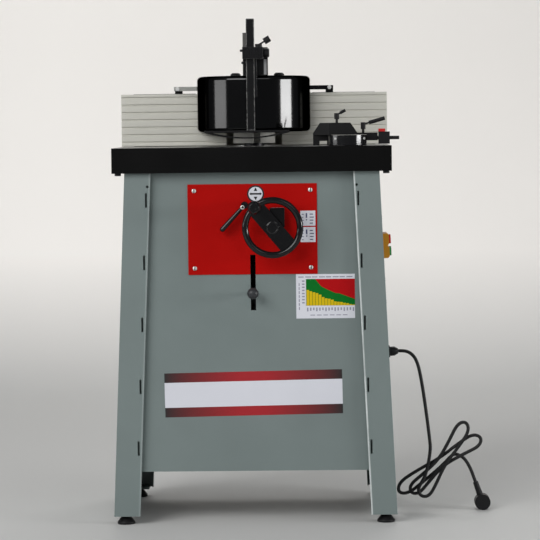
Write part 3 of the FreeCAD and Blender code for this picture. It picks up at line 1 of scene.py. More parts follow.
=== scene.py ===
"""Looks of a spindle moulder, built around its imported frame.

Metres, in the part's own frame: X to the operator's right, -Y towards the operator, Z up, with the
origin on the floor below the spindle. Prints, turned profiles and the cord's route are in millimetres.
"""

import math

import bmesh
import bpy
from mathutils import Matrix, Vector


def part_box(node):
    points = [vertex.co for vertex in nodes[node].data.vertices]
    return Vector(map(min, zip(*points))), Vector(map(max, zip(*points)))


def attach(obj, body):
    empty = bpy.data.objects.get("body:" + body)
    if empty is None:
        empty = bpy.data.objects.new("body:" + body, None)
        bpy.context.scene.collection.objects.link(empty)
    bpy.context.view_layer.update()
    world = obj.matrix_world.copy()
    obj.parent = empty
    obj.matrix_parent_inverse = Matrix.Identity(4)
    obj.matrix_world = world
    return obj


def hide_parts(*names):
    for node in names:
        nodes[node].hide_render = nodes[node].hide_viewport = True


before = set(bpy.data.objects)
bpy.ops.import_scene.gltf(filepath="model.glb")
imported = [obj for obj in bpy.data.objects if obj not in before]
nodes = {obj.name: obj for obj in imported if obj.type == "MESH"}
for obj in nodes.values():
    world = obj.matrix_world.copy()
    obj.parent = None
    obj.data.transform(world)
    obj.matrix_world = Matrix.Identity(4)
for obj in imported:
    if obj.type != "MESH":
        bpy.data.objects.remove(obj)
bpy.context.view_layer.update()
scene = bpy.context.scene

MM = 0.001
X, Y, Z = Vector((1, 0, 0)), Vector((0, 1, 0)), Vector((0, 0, 1))

# The stand's sides lean in by this angle
SPLAY = math.radians(2.5304)
WALL_OUT = Vector((math.cos(SPLAY), 0, math.sin(SPLAY)))
WALL_UP = Vector((-math.sin(SPLAY), 0, math.cos(SPLAY)))


# Materials
def tinted(color, share):
    """A colour made lighter or darker by a share of itself."""
    return tuple(min(1.0, channel * (1 + share)) for channel in color)


def grey(value):
    """A colour without hue."""
    return value, value, value


STEEL_WORN = (0.32, 0.32, 0.31)
MOULDED_BLACK = (0.008, 0.008, 0.0085)
WEAR_SCALE = 140
SKIN_DEPTH, LINE_DEPTH = 0.0004, 0.0002
LINE_BUMP = 0.05

# The stand's paint: its colour, clouds, skin and gloss, and how far its edges are rubbed
GREY_GREEN = (0.162, 0.197, 0.192)
PAINT_MOTTLE, PAINT_CLOUDS, PAINT_GRAIN, PAINT_SKIN, PAINT_SHINE = 0.05, 6, 0.12, 1500, 0.3
PAINT_RUBBED, PAINT_EDGE, PAINT_WEAR = tinted(GREY_GREEN, 0.7), 0.0016, 0.6

# Where a finish changes within one node
TABLE_SKIM = 0.0015
GUARD_RADIUS = 0.1352
DOOR_SHEET_BACK = 0.188
# The legs' inner bends: the leg's width out to its bend, the width of a pale painted highlight along the
# bend, the depth in front of which it shows, and its colour
LEG_STRIP, BEND_LINE, BEND_FRONT = 0.06, 0.0042, -0.2585
BEND_HIGHLIGHT_COLOUR = (0.6, 0.64, 0.63)


class Tree:
    """A material's node tree, with short calls for the nodes that the finishes share."""

    def __init__(self, name):
        self.material = bpy.data.materials.new(name)
        self.material.use_nodes = True
        self.nodes = self.material.node_tree.nodes
        self.links = self.material.node_tree.links
        self.shader = self.nodes["Principled BSDF"]
        self.place = self.nodes.new("ShaderNodeTexCoord").outputs["Object"]

    def join(self, source, target):
        self.links.new(source, target)

    def feed(self, value, target):
        """Link an output to a socket, or set the socket to a plain value."""
        if isinstance(value, bpy.types.NodeSocket):
            self.join(value, target)
        else:
            target.default_value = value

    def set(self, **values):
        """Set the shader's own sockets, named with underscores for spaces."""
        for name, value in values.items():
            self.shader.inputs[name.replace("_", " ")].default_value = value

    def scaled(self, stretch):
        """The object's own coordinates, stretched along its axes."""
        mapping = self.nodes.new("ShaderNodeMapping")
        mapping.inputs["Scale"].default_value = stretch
        self.join(self.place, mapping.inputs["Vector"])
        return mapping.outputs["Vector"]

    def apart(self, source=None):
        """The X, Y and Z of a vector, or else of the object's own coordinates."""
        node = self.nodes.new("ShaderNodeSeparateXYZ")
        self.join(self.place if source is None else source, node.inputs[0])
        return [node.outputs[axis] for axis in "XYZ"]

    def noise(self, scale, detail=3.0, stretch=(1, 1, 1), roughness=0.5):
        node = self.nodes.new("ShaderNodeTexNoise")
        node.inputs["Scale"].default_value = scale
        node.inputs["Detail"].default_value = detail
        node.inputs["Roughness"].default_value = roughness
        self.join(self.scaled(stretch), node.inputs["Vector"])
        return node.outputs["Fac"]

    def span(self, source, low, high, from_low=0.3, from_high=0.7):
        """A value brought into a range."""
        node = self.nodes.new("ShaderNodeMapRange")
        node.inputs["From Min"].default_value = from_low
        node.inputs["From Max"].default_value = from_high
        node.inputs["To Min"].default_value = low
        node.inputs["To Max"].default_value = high
        self.join(source, node.inputs["Value"])
        return node.outputs["Result"]

    def mix(self, factor, first, second):
        """One colour blended into another; each is a colour or an output."""
        node = self.nodes.new("ShaderNodeMix")
        node.data_type = "RGBA"
        self.join(factor, node.inputs["Factor"])
        for socket, value in (("A", first), ("B", second)):
            target = [item for item in node.inputs if item.name == socket and item.type == "RGBA"][0]
            self.feed((*value, 1) if isinstance(value, tuple) else value, target)
        return [item for item in node.outputs if item.type == "RGBA"][0]

    def math(self, operation, first, second=0):
        """One operation on two values, each a number or an output."""
        node = self.nodes.new("ShaderNodeMath")
        node.operation = operation
        for target, value in zip(node.inputs, (first, second)):
            self.feed(value, target)
        return node.outputs["Value"]

    def edges(self, radius):
        """Where the surface turns within that radius: 0 on flats, towards 1 at edges."""
        bevel = self.nodes.new("ShaderNodeBevel")
        bevel.samples = 4
        bevel.inputs["Radius"].default_value = radius
        geometry = self.nodes.new("ShaderNodeNewGeometry")
        dot = self.nodes.new("ShaderNodeVectorMath")
        dot.operation = "DOT_PRODUCT"
        self.join(bevel.outputs["Normal"], dot.inputs[0])
        self.join(geometry.outputs["Normal"], dot.inputs[1])
        return self.span(dot.outputs["Value"], 0, 1, 0.99, 0.8)

    def clouded(self, cloud, color, share):
        """A colour that a cloud makes a little darker and lighter."""
        return self.mix(self.span(cloud, 0, 1), tinted(color, -share), tinted(color, share))

    def wear_and_highlight_edges(self, shade, edge_wear_and_highlight, radius, share):
        """A shade changed to another one in patches along the edges, for rubbed paint and for painted edge
        highlights.
        """
        patches = self.span(self.noise(WEAR_SCALE, 4), 0, share)
        return self.mix(self.math("MULTIPLY", self.edges(radius), patches), shade, edge_wear_and_highlight)

    def bump(self, height, strength, distance):
        node = self.nodes.new("ShaderNodeBump")
        node.inputs["Strength"].default_value = strength
        node.inputs["Distance"].default_value = distance
        self.join(height, node.inputs["Height"])
        self.join(node.outputs["Normal"], self.shader.inputs["Normal"])

    def color(self, source):
        self.join(source, self.shader.inputs["Base Color"])

    def rough(self, source):
        self.join(source, self.shader.inputs["Roughness"])


def coated(name, color, roughness, mottle=0.08, mottle_scale=6, grain=0.06, grain_scale=900, metallic=0.0,
           shine=0.3, edge_wear_and_highlight=None, edge_wear_and_highlight_radius=0.0012, edge_wear_and_highlight_share=0.6):
    """A painted, moulded or enamelled finish: faint clouds, a fine skin and, where given, pale edges in
    patches, which are rubbed paint on most finishes and a painted highlight on the black bar and post.
    """
    tree = Tree(name)
    tree.set(Metallic=metallic, Specular_IOR_Level=shine)
    cloud, skin = tree.noise(mottle_scale, 4), tree.noise(grain_scale, 2)
    shade = tree.clouded(cloud, color, mottle)
    if edge_wear_and_highlight:
        shade = tree.wear_and_highlight_edges(shade, edge_wear_and_highlight, edge_wear_and_highlight_radius, edge_wear_and_highlight_share)
    tree.color(shade)
    both = tree.math("ADD", cloud, tree.math("MULTIPLY", skin, 0.5))
    tree.rough(tree.span(both, roughness - 0.05, roughness + 0.08, 0.5, 1.0))
    tree.bump(skin, grain, SKIN_DEPTH)
    return tree.material


def drawn(name, color, roughness, along=(1, 40, 40), scale=60, spread=0.12, metallic=1.0):
    """A bare metal with fine lines left by drawing, turning or grinding along one axis."""
    tree = Tree(name)
    tree.set(Metallic=metallic)
    lines = tree.noise(scale, 5, along, 0.65)
    cloud = tree.noise(9, 3)
    shade = tree.mix(tree.span(lines, 0, 1), tinted(color, -0.16), tinted(color, 0.1))
    tree.color(tree.mix(tree.span(cloud, 0, 0.35), shade, tinted(color, -0.2)))
    tree.rough(tree.span(lines, roughness - spread / 2, roughness + spread))
    tree.bump(lines, LINE_BUMP, LINE_DEPTH)
    return tree.material


paint_stand = coated("stand_powder_coat", GREY_GREEN, 0.42, mottle=PAINT_MOTTLE, grain=PAINT_GRAIN,
                     grain_scale=PAINT_SKIN, edge_wear_and_highlight=PAINT_RUBBED, edge_wear_and_highlight_radius=PAINT_EDGE)
paint_red = coated("control_red", (0.365, 0.0035, 0.0025), 0.4, mottle=0.05, grain=0.05, grain_scale=1200,
                   shine=0.05, edge_wear_and_highlight=(0.4, 0.04, 0.03))
gloss_black = coated("gloss_black", (0.003, 0.003, 0.0033), 0.1, mottle=0.1, grain=0.012, grain_scale=500,
                     shine=0.55)
plastic_black = coated("moulded_black", MOULDED_BLACK, 0.42, mottle=0.12, grain=0.16, grain_scale=2200,
                       shine=0.2)
satin_black = coated("handwheel_black", (0.005, 0.005, 0.0055), 0.15, mottle=0.12, grain=0.03,
                     grain_scale=1400, shine=0.35)
metal_black = coated("black_painted_metal", (0.006, 0.006, 0.0065), 0.36, mottle=0.12, grain=0.1,
                     grain_scale=1100, shine=0.2, edge_wear_and_highlight=grey(0.09), edge_wear_and_highlight_radius=0.001)
# Pressure bar: its pale edges, laid in patches like wear, are a painted highlight along both sides of the bar
edged_black = coated("black_bar_painted_edge_highlights", (0.005, 0.005, 0.0055), 0.3, mottle=0.12, grain=0.08,
                     grain_scale=1100, shine=0.2, edge_wear_and_highlight=(0.5, 0.5, 0.48), edge_wear_and_highlight_radius=0.0035, edge_wear_and_highlight_share=1.5)
# Pressure post: its pale edges, laid in patches like wear, are a painted highlight on the post's corners
post_black = coated("black_post", (0.005, 0.005, 0.0055), 0.24, mottle=0.12, grain=0.06, grain_scale=1100,
                    shine=0.3, edge_wear_and_highlight=(0.16, 0.16, 0.155), edge_wear_and_highlight_radius=0.0016, edge_wear_and_highlight_share=0.8)
oxide_black = coated("black_oxide", (0.016, 0.016, 0.018), 0.34, mottle=0.15, mottle_scale=40, grain=0.06,
                     metallic=0.5, edge_wear_and_highlight=grey(0.2))
plastic_grey = coated("ball_grey", (0.03, 0.032, 0.035), 0.35, mottle=0.1, grain=0.04)
casting_grey = coated("grey_casting", (0.13, 0.14, 0.14), 0.62, mottle=0.14, mottle_scale=25, grain=0.5,
                      grain_scale=420, edge_wear_and_highlight=STEEL_WORN)
paint_motor = coated("motor_enamel", (0.1, 0.125, 0.14), 0.4, mottle=0.07, grain=0.14, grain_scale=800,
                     edge_wear_and_highlight=STEEL_WORN)
aluminium = drawn("anodised_extrusion", (0.6, 0.59, 0.53), 0.46, along=(0.6, 60, 60), metallic=0.4)
cutter_alloy = drawn("cutter_body", (0.46, 0.455, 0.42), 0.62, along=(20, 20, 60), metallic=0.15)
steel = drawn("ground_steel", grey(0.5), 0.28, along=(6, 6, 60))
steel_bar = drawn("drawn_steel", grey(0.46), 0.32)
zinc = drawn("zinc_plate", (0.72, 0.72, 0.7), 0.36, along=(9, 9, 9), scale=30, spread=0.2, metallic=0.6)
alloy = drawn("turned_alloy", (0.52, 0.52, 0.53), 0.36, along=(4, 4, 70))
bronze = drawn("bronze", (0.5, 0.33, 0.13), 0.38, along=(6, 6, 50))
belt_rubber = coated("belt_rubber", grey(0.014), 0.72, mottle=0.2, grain=0.3, grain_scale=1500)
cord_rubber = coated("cord_sheath", (0.009, 0.009, 0.0095), 0.5, mottle=0.15, grain=0.14, grain_scale=1800)
switch_yellow = coated("switch_yellow", (0.62, 0.27, 0.02), 0.36, mottle=0.06)
plastic_red = coated("red_moulding", (0.5, 0.02, 0.018), 0.34, mottle=0.06, grain=0.04)
plastic_green = coated("green_moulding", (0.02, 0.27, 0.07), 0.34, mottle=0.06, grain=0.04)
label_white = coated("label_white", (0.62, 0.63, 0.68), 0.4, mottle=0.02, grain=0.02)
# Black for prints, also used as painted shade on the floors of the screw slots
print_black_and_slot_shade = coated("print_black_and_slot_shade", (0.012, 0.012, 0.014), 0.4, mottle=0.05, grain=0.02)
label_grey = coated("label_grey", (0.25, 0.25, 0.31), 0.4, mottle=0.05, grain=0.02)
scale_grey = coated("scale_grey", (0.1, 0.097, 0.092), 0.4, mottle=0.1, grain=0.02)
label_blue = coated("label_blue", (0.07, 0.07, 0.14), 0.4, mottle=0.05, grain=0.02)
label_yellow = coated("label_yellow", (0.58, 0.41, 0.008), 0.4, mottle=0.06, grain=0.02, shine=0.08)
label_green = coated("label_green", (0.003, 0.135, 0.015), 0.4, mottle=0.06, grain=0.02, shine=0.08)
label_red = coated("label_red", (0.38, 0.004, 0.006), 0.4, mottle=0.06, grain=0.02, shine=0.08)


def table_iron():
    """Black enamel on the casting's sides and underside, ground iron on its top."""
    tree = Tree("table_iron")
    tree.set(Specular_IOR_Level=0.05)
    geometry = tree.nodes.new("ShaderNodeNewGeometry")
    level = tree.math("GREATER_THAN", tree.apart(geometry.outputs["Normal"])[2], 0.9)
    top = tree.math("GREATER_THAN", tree.apart()[2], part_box("table")[1].z - TABLE_SKIM)
    ground = tree.math("MULTIPLY", level, top)
    enamel = tree.mix(tree.span(tree.noise(7, 4), 0, 1), grey(0.003), grey(0.005))
    lines = tree.noise(50, 5, (0.8, 30, 1), 0.65)
    iron = tree.mix(tree.span(lines, 0, 1), (0.2, 0.2, 0.195), (0.34, 0.34, 0.33))
    tree.color(tree.mix(ground, enamel, iron))
    tree.join(ground, tree.shader.inputs["Metallic"])
    skin = tree.noise(700, 3)
    tree.rough(tree.math("ADD", tree.span(skin, 0.38, 0.5), tree.math("MULTIPLY", ground, -0.12)))
    tree.bump(tree.math("ADD", skin, lines), 0.12, 0.0003)
    return tree.material


def folded_paint():
    """The stand's paint on its folded sides, rubbed along the edges, with a pale painted highlight along the
    legs' inner bends.
    """
    tree = Tree("stand_folded_sheet_bend_highlight")
    tree.set(Specular_IOR_Level=PAINT_SHINE)
    x, y, z = tree.apart()
    shade = tree.clouded(tree.noise(PAINT_CLOUDS, 4), GREY_GREEN, PAINT_MOTTLE)
    shade = tree.wear_and_highlight_edges(shade, PAINT_RUBBED, PAINT_EDGE, PAINT_WEAR)
    # Painted highlight: a pale line along each leg's inner bend, at the front only, stronger on the right leg
    # and in patches
    low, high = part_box("right_side_frame")
    bend = high.x + math.tan(SPLAY) * low.z - LEG_STRIP
    upright = tree.math("ADD", tree.math("ABSOLUTE", x), tree.math("MULTIPLY", z, math.tan(SPLAY)))
    line = tree.span(upright, 1, 0, bend + BEND_LINE * 0.6, bend + BEND_LINE)
    in_front = tree.math("LESS_THAN", y, BEND_FRONT)
    highlight_stronger_right = tree.span(x, 0.2, 1, -0.1, 0.1)
    patches = tree.span(tree.noise(25, 3), 0.55, 1)
    for share in (in_front, highlight_stronger_right, patches):
        line = tree.math("MULTIPLY", line, share)
    tree.color(tree.mix(line, shade, BEND_HIGHLIGHT_COLOUR))
    skin = tree.noise(PAINT_SKIN, 2)
    tree.rough(tree.span(skin, 0.37, 0.47))
    tree.bump(skin, PAINT_GRAIN, SKIN_DEPTH)
    return tree.material


def guard_finish():
    """The guard's gloss, no brighter at its edges than in front, with its left arm left in bare metal."""
    tree = Tree("guard_gloss")
    tree.set(Metallic=1, Specular_Tint=(*grey(0.05), 1))
    arm = tree.math("LESS_THAN", tree.apart()[0], -GUARD_RADIUS)
    gloss = tree.mix(tree.span(tree.noise(6, 4), 0, 1), grey(0.026), grey(0.033))
    bare = tree.mix(tree.span(tree.noise(60, 4, (1, 30, 30)), 0, 1), (0.36, 0.36, 0.33), (0.5, 0.5, 0.47))
    tree.color(tree.mix(arm, gloss, bare))
    skin = tree.noise(500, 2)
    tree.rough(tree.math("ADD", tree.span(skin, 0.08, 0.13), tree.math("MULTIPLY", arm, 0.25)))
    tree.bump(skin, 0.012, SKIN_DEPTH)
    return tree.material


def door_finish():
    """The stand's paint, with the knob that stands out of the sheet's free half in black."""
    tree = Tree("door_paint")
    tree.set(Specular_IOR_Level=PAINT_SHINE)
    x, y, _ = tree.apart()
    proud, free_half = tree.math("GREATER_THAN", y, DOOR_SHEET_BACK), tree.math("GREATER_THAN", x, 0)
    paint = tree.clouded(tree.noise(PAINT_CLOUDS, 4), GREY_GREEN, PAINT_MOTTLE)
    tree.color(tree.mix(tree.math("MULTIPLY", proud, free_half), paint, MOULDED_BLACK))
    skin = tree.noise(PAINT_SKIN, 2)
    tree.rough(tree.span(skin, 0.38, 0.48))
    tree.bump(skin, PAINT_GRAIN, SKIN_DEPTH)
    return tree.material


def bolt_finish():
    """Zinc on the bolts above the table, black oxide on those below it."""
    tree = Tree("bolt_plating")
    tree.set(Metallic=0.6)
    below = tree.math("LESS_THAN", tree.apart()[2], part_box("table")[0].z)
    cloud = tree.span(tree.noise(270, 5), 0, 1)
    bright = tree.mix(cloud, (0.58, 0.58, 0.56), (0.76, 0.76, 0.74))
    dark = tree.mix(cloud, (0.012, 0.012, 0.013), (0.03, 0.03, 0.031))
    tree.color(tree.mix(below, bright, dark))
    tree.rough(tree.span(cloud, 0.28, 0.46, 0, 1))
    tree.bump(cloud, LINE_BUMP, LINE_DEPTH)
    return tree.material


def faded_bar(name, dark, bright, low, high):
    """A printed bar whose colour deepens towards both ends along X."""
    tree = Tree(name)
    middle, half = (low + high) / 2, (high - low) / 2
    away = tree.math("ABSOLUTE", tree.math("SUBTRACT", tree.apart()[0], middle))
    tree.color(tree.mix(tree.span(away, 0, 1, half * 0.15, half), bright, dark))
    tree.set(Roughness=0.4)
    return tree.material


# Shapes
WELD_REACH = 2e-6
FLAT_ANGLE, EDGE_ANGLE = math.radians(1), math.radians(32)
SMOOTH_DEGREES, HEAD_DEGREES = 40, 35
ON_AXIS = 1e-7


def piece(name, data, body, materials, replaced=(), smooth=SMOOTH_DEGREES):
    """Link a mesh or curve as a piece of the object that rides on a body."""
    obj = bpy.data.objects.new(name, data)
    scene.collection.objects.link(obj)
    if isinstance(data, bpy.types.Mesh) and smooth:
        data.polygons.foreach_set("use_smooth", [True] * len(data.polygons))
        data.set_sharp_from_angle(angle=math.radians(smooth))
    for material in materials:
        data.materials.append(material)
    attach(obj, body)
    if replaced:
        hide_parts(*replaced)
    return obj


def to_mesh(name, bm, clean=True):
    """A bmesh written to a new mesh, with its doubles joined and its faces turned outwards."""
    if clean:
        bmesh.ops.remove_doubles(bm, verts=bm.verts, dist=1e-6)
    bmesh.ops.recalc_face_normals(bm, faces=bm.faces)
    mesh = bpy.data.meshes.new(name)
    bm.to_mesh(mesh)
    bm.free()
    return mesh


def rounded(points, steps=5):
    """A line of (a, b, radius) corners with each one rounded to its radius."""
    flat = [Vector(point[:2]) for point in points]
    result = []
    for number, (corner, point) in enumerate(zip(flat, points)):
        radius = point[2] if len(point) > 2 else 0
        if not radius or number in (0, len(points) - 1):
            result.append(corner)
            continue
        back, ahead = (flat[number - 1] - corner), (flat[number + 1] - corner)
        half = back.angle(ahead) / 2
        reach = min(radius / math.tan(half), 0.49 * back.length, 0.49 * ahead.length)
        first, last = corner + back.normalized() * reach, corner + ahead.normalized() * reach
        for step in range(steps + 1):
            share = step / steps
            result.append(first.lerp(corner, share).lerp(corner.lerp(last, share), share))
    return result


def revolve(bm, profile, origin, axis, segments):
    """Add a profile of (radius, height) points turned all round an axis."""
    axis = axis.normalized()
    across = axis.orthogonal().normalized()
    other = axis.cross(across)
    turns = [math.tau * i / segments for i in range(segments)]
    rings = []
    for radius, height in profile:
        centre = origin + axis * height
        if radius < ON_AXIS:
            rings.append([bm.verts.new(centre)] * segments)
            continue
        rings.append([bm.verts.new(centre + (across * math.cos(a) + other * math.sin(a)) * radius)
                      for a in turns])
    for low, high in zip(rings, rings[1:]):
        for i in range(segments):
            j = (i + 1) % segments
            corners = [low[i], low[j], high[j], high[i]]
            unique = [v for k, v in enumerate(corners) if v not in corners[:k]]
            if len(unique) > 2:
                bm.faces.new(unique)


def lathe(name, profile, origin, axis, body, material, segments=64):
    """A turned piece, from a profile of (radius, height, rounding) corners in millimetres."""
    bm = bmesh.new()
    line = [[value * MM for value in row] for row in profile]
    revolve(bm, rounded(line), Vector(origin), axis, segments)
    return piece(name, to_mesh(name, bm), body, [material])


def extrude(bm, outline, thickness):
    """Add a flat outline of points, thickened along a vector."""
    low = [bm.verts.new(point) for point in outline]
    high = [bm.verts.new(Vector(point) + thickness) for point in outline]
    bm.faces.new(low)
    bm.faces.new(list(reversed(high)))
    for i in range(len(outline)):
        j = (i + 1) % len(outline)
        bm.faces.new([low[j], low[i], high[i], high[j]])


def loft(bm, rings):
    """Close a row of loops into one solid."""
    for low, high in zip(rings, rings[1:]):
        for i in range(len(low)):
            j = (i + 1) % len(low)
            bm.faces.new([low[i], low[j], high[j], high[i]])
    bm.faces.new(list(reversed(rings[0])))
    bm.faces.new(rings[-1])


def paint_since(bm, known, index):
    """Give one of the piece's materials to the faces added after the first known ones."""
    bm.faces.ensure_lookup_table()
    for added in bm.faces[known:]:
        added.material_index = index


def dress(name, material, edge, steps):
    """Give a node of the frame its finish and, where asked, rounded edges."""
    obj = nodes[name]
    mesh = obj.data
    mesh.materials.clear()
    mesh.materials.append(material)
    mesh.polygons.foreach_set("use_smooth", [True] * len(mesh.polygons))
    mesh.polygons.foreach_set("material_index", [0] * len(mesh.polygons))
    weld = obj.modifiers.new("weld", "WELD")
    weld.merge_threshold = WELD_REACH
    flat = obj.modifiers.new("flat_faces", "DECIMATE")
    flat.decimate_type = "DISSOLVE"
    flat.angle_limit = FLAT_ANGLE
    if edge:
        bevel = obj.modifiers.new("edges", "BEVEL")
        bevel.width = edge
        bevel.segments = steps
        bevel.limit_method = "ANGLE"
        bevel.angle_limit = EDGE_ANGLE
        bevel.harden_normals = False
    normals = obj.modifiers.new("normals", "WEIGHTED_NORMAL")
    normals.keep_sharp = True


# Nodes that keep their own shape: the finish, the rounding of its edges in millimetres, that rounding's
# steps, and the nodes
FINISHES = [
    (table_iron(), 1, 3, "table"),
    (folded_paint(), 0.9, 2, "left_side_frame right_side_frame"),
    (paint_stand, 0.7, 2, "front_panel rear_panel"),
    (door_finish(), 0.7, 2, "belt_door"),
    (paint_red, 0.6, 2, "control_plate"),
    (aluminium, 1, 2, "left_fence_board right_fence_board fence_housing"),
    (metal_black, 0.8, 2, "fence_brackets mitre_head mitre_fence pressure_shoe"),
    (post_black, 2.6, 4, "pressure_post"),
    (edged_black, 0.9, 2, "pressure_bar"),
    (steel_bar, 0.6, 2, "mitre_bar"),
    (gloss_black, 0.8, 2, "mitre_protractor"),
    (plastic_black, 1.2, 3, "mitre_stop"),
    (plastic_red, 0.8, 2, "stop_flag"),
    (steel, 0.6, 2, "table_ring guide_columns lift_screw spindle spindle_bearings wheel_shaft shaft_bush"),
    (cutter_alloy, 0.8, 2, "cutter_block"),
    (oxide_black, 0.8, 2, "arbor_collars"),
    (bolt_finish(), 0.5, 2, "bolts_and_nuts"),
    (zinc, 0.5, 2, "door_hinge_pins"),
    (casting_grey, 2, 3, "spindle_carriage lift_gearbox column_tie_plate"),
    (paint_motor, 0.8, 2, "motor"),
    (alloy, 0.6, 2, "spindle_pulley motor_shaft_and_pulley"),
    (bronze, 0.5, 2, "lift_nut"),
    (belt_rubber, 0.6, 2, "drive_belt"),
    (satin_black, 1, 2, "handwheel wheel_handle height_lock_lever"),
    (satin_black, 1.5, 3, "position_indicator"),
    (plastic_black, 0.8, 2, "hood_caps bar_clamp_knob bar_clamp_lever mitre_small_lever mitre_large_lever "
                            "cable_gland mains_plug levelling_feet"),
    (guard_finish(), 0.8, 2, "guard_hood"),
    (plastic_grey, 0, 0, "spindle_lock_knob"),
    (switch_yellow, 2, 3, "switch_housing"),
    (plastic_red, 1, 2, "stop_button"),
    (plastic_green, 1, 2, "start_button"),
]
for finish, edge_radius, edge_steps, names in FINISHES:
    for node_name in names.split():
        dress(node_name, finish, edge_radius * MM, edge_steps)


# Mains cord: the route's own points, with the hank's turns as more points of the same line
CORD_DIAMETER, CORD_LENGTH = 0.008, 1.6
CORD_PLANE = -0.09
CORD_STEPS, CORD_SIDES = 6, 4
EXIT = Vector((0.336622, CORD_PLANE, 0.382130))
FIRST_RUN = 0.014
FREE_ROUTE = [(364, 0, 378.2), (375, -0.3, 368), (382.5, -1, 352), (388, -2.2, 329), (393, -4, 300),
              (397.6, -6, 268), (401.7, -8, 236), (405.6, -10, 204), (409, -11.7, 174), (411.5, -13, 147)]
TAIL_ROUTE = [(466, 19, 134), (481.5, 19, 130.1), (494, 19, 120.3), (503.5, 19, 105), (511.5, 19, 86.5),
              (518.5, 19, 66)]
# The hank's loops, one for each half turn, as the lean of the loop in degrees and its reach
HANK_CENTRE = (438, 117)
HANK_LOOPS = [(58, 96), (58.6, 113), (45, 105), (31, 111), (35, 128)]
HANK_WAIST, HANK_BULGE, HANK_PITCH = 9, 34, 9.5
HANK_START, HANK_PAST, HANK_STEP = 120, 90, 30
# The plug's sleeve, with its ribs
SLEEVE_TOP, PLUG_CENTRE = Vector((0.5185, -0.071, 0.066)), Vector((0.5347, -0.071, 0.0185))
SLEEVE_PROFILE = [(0, 0), (4.7, 0, 0.4), (5.3, 1.2, 0.3), (5.3, 4.4, 0.4), (4.5, 4.8), (4.5, 6.2),
                  (5.6, 6.6, 0.4), (5.6, 9.8, 0.4), (4.7, 10.2), (4.7, 11.6), (5.9, 12, 0.4),
                  (5.9, 15.2, 0.4), (4.9, 15.6), (4.9, 17), (6.2, 17.4, 0.4), (6.2, 20.6, 0.4), (5.2, 21),
                  (5.2, 22.4), (6.6, 22.8, 0.5), (7.4, 33), (0, 33)]


def cord_point(x, depth, z):
    """A point beside the machine, that far behind the gland's own plane, from millimetres."""
    return Vector((x * MM, CORD_PLANE + depth * MM, z * MM))


def hank_point(angle):
    """A point of the hank's line: loops drawn in at the waist, each with its own lean and reach."""
    loop = (angle - 180) / 180
    last = len(HANK_LOOPS) - 1
    low = min(max(math.floor(loop), 0), last)
    high = min(low + 1, last)
    share = min(max(loop - low, 0), 1)
    share = share * share * (3 - 2 * share)
    lean, reach = [a + (b - a) * share for a, b in zip(HANK_LOOPS[low], HANK_LOOPS[high])]
    turn, lean = math.radians(angle), math.radians(lean)
    along = reach * math.cos(turn)
    across = math.sin(turn) * (HANK_WAIST + HANK_BULGE * math.cos(turn) ** 2)
    depth = HANK_PITCH * (angle / 360 - (len(HANK_LOOPS) + 1) / 4)
    return cord_point(HANK_CENTRE[0] + along * math.cos(lean) - across * math.sin(lean), depth,
                      HANK_CENTRE[1] + along * math.sin(lean) + across * math.cos(lean))


def cord_line():
    """The cord's control points from the gland to the plug."""
    hank_end = 180 * len(HANK_LOOPS) + HANK_PAST
    points = [EXIT, EXIT + WALL_OUT * FIRST_RUN] + [cord_point(*row) for row in FREE_ROUTE]
    points += [hank_point(angle) for angle in range(HANK_START, hank_end + 1, HANK_STEP)]
    return points + [cord_point(*row) for row in TAIL_ROUTE]


def nurbs(name, points, radius):
    """A smooth round line through the span of its control points."""
    curve = bpy.data.curves.new(name, "CURVE")
    curve.dimensions = "3D"
    curve.bevel_depth = radius
    curve.bevel_resolution = CORD_SIDES
    curve.use_fill_caps = True
    curve.resolution_u = CORD_STEPS
    spline = curve.splines.new("NURBS")
    spline.points.add(len(points) - 1)
    for target, point in zip(spline.points, points):
        target.co = (*point, 1)
    spline.order_u = 3
    spline.use_endpoint_u = True
    return curve


flex = piece("mains_flex", nurbs("mains_flex", cord_line(), CORD_DIAMETER / 2), "stand", [cord_rubber],
             ("mains_cord", "cord_hank", "cord_tail"))
sleeve = lathe("plug_sleeve", SLEEVE_PROFILE, SLEEVE_TOP, PLUG_CENTRE - SLEEVE_TOP, "stand", plastic_black,
               segments=32)


# Screws, prints and fittings that the solids leave out
PRINT = 0.12 * MM
SLOT_SHARE = 0.24
# A black disc fills the floor of each slot as painted shade; its radius and height are shares of the head's
SLOT_FLOOR_RADIUS, SLOT_FLOOR_HEIGHT = 0.9, 0.4
HEAD_RINGS = [(1, 0), (1, 0.5), (0.92, 0.8), (0.72, 1)]
HEAD_STEPS, SLOT_FLOOR_STEPS = 14, 24


def at(x, y, z):
    """A place given in millimetres."""
    return Vector((x, y, z)) * MM


def slotted(bm, seat, axis, along, radius, height):
    """Add a domed screw head on a seat that the axis points out of, with its slot in the direction given."""
    axis, along = axis.normalized(), along.normalized()
    other = axis.cross(along)
    for sign in (1, -1):
        rings = []
        for share, level in HEAD_RINGS:
            reach = radius * share
            first = math.asin(radius * SLOT_SHARE / reach)
            turns = [first + (math.pi - 2 * first) * step / HEAD_STEPS for step in range(HEAD_STEPS + 1)]
            centre = seat + axis * height * level
            rings.append([bm.verts.new(centre + (along * math.cos(a) + other * math.sin(a)) * reach * sign)
                          for a in turns])
        loft(bm, rings)
    # The slot's floor: a black disc, painted shade at the bottom of the slot
    inner, floor = radius * SLOT_FLOOR_RADIUS, height * SLOT_FLOOR_HEIGHT
    known = len(bm.faces)
    revolve(bm, [(0, 0), (inner, 0), (inner, floor), (0, floor)], seat, axis, SLOT_FLOOR_STEPS)
    paint_since(bm, known, 1)


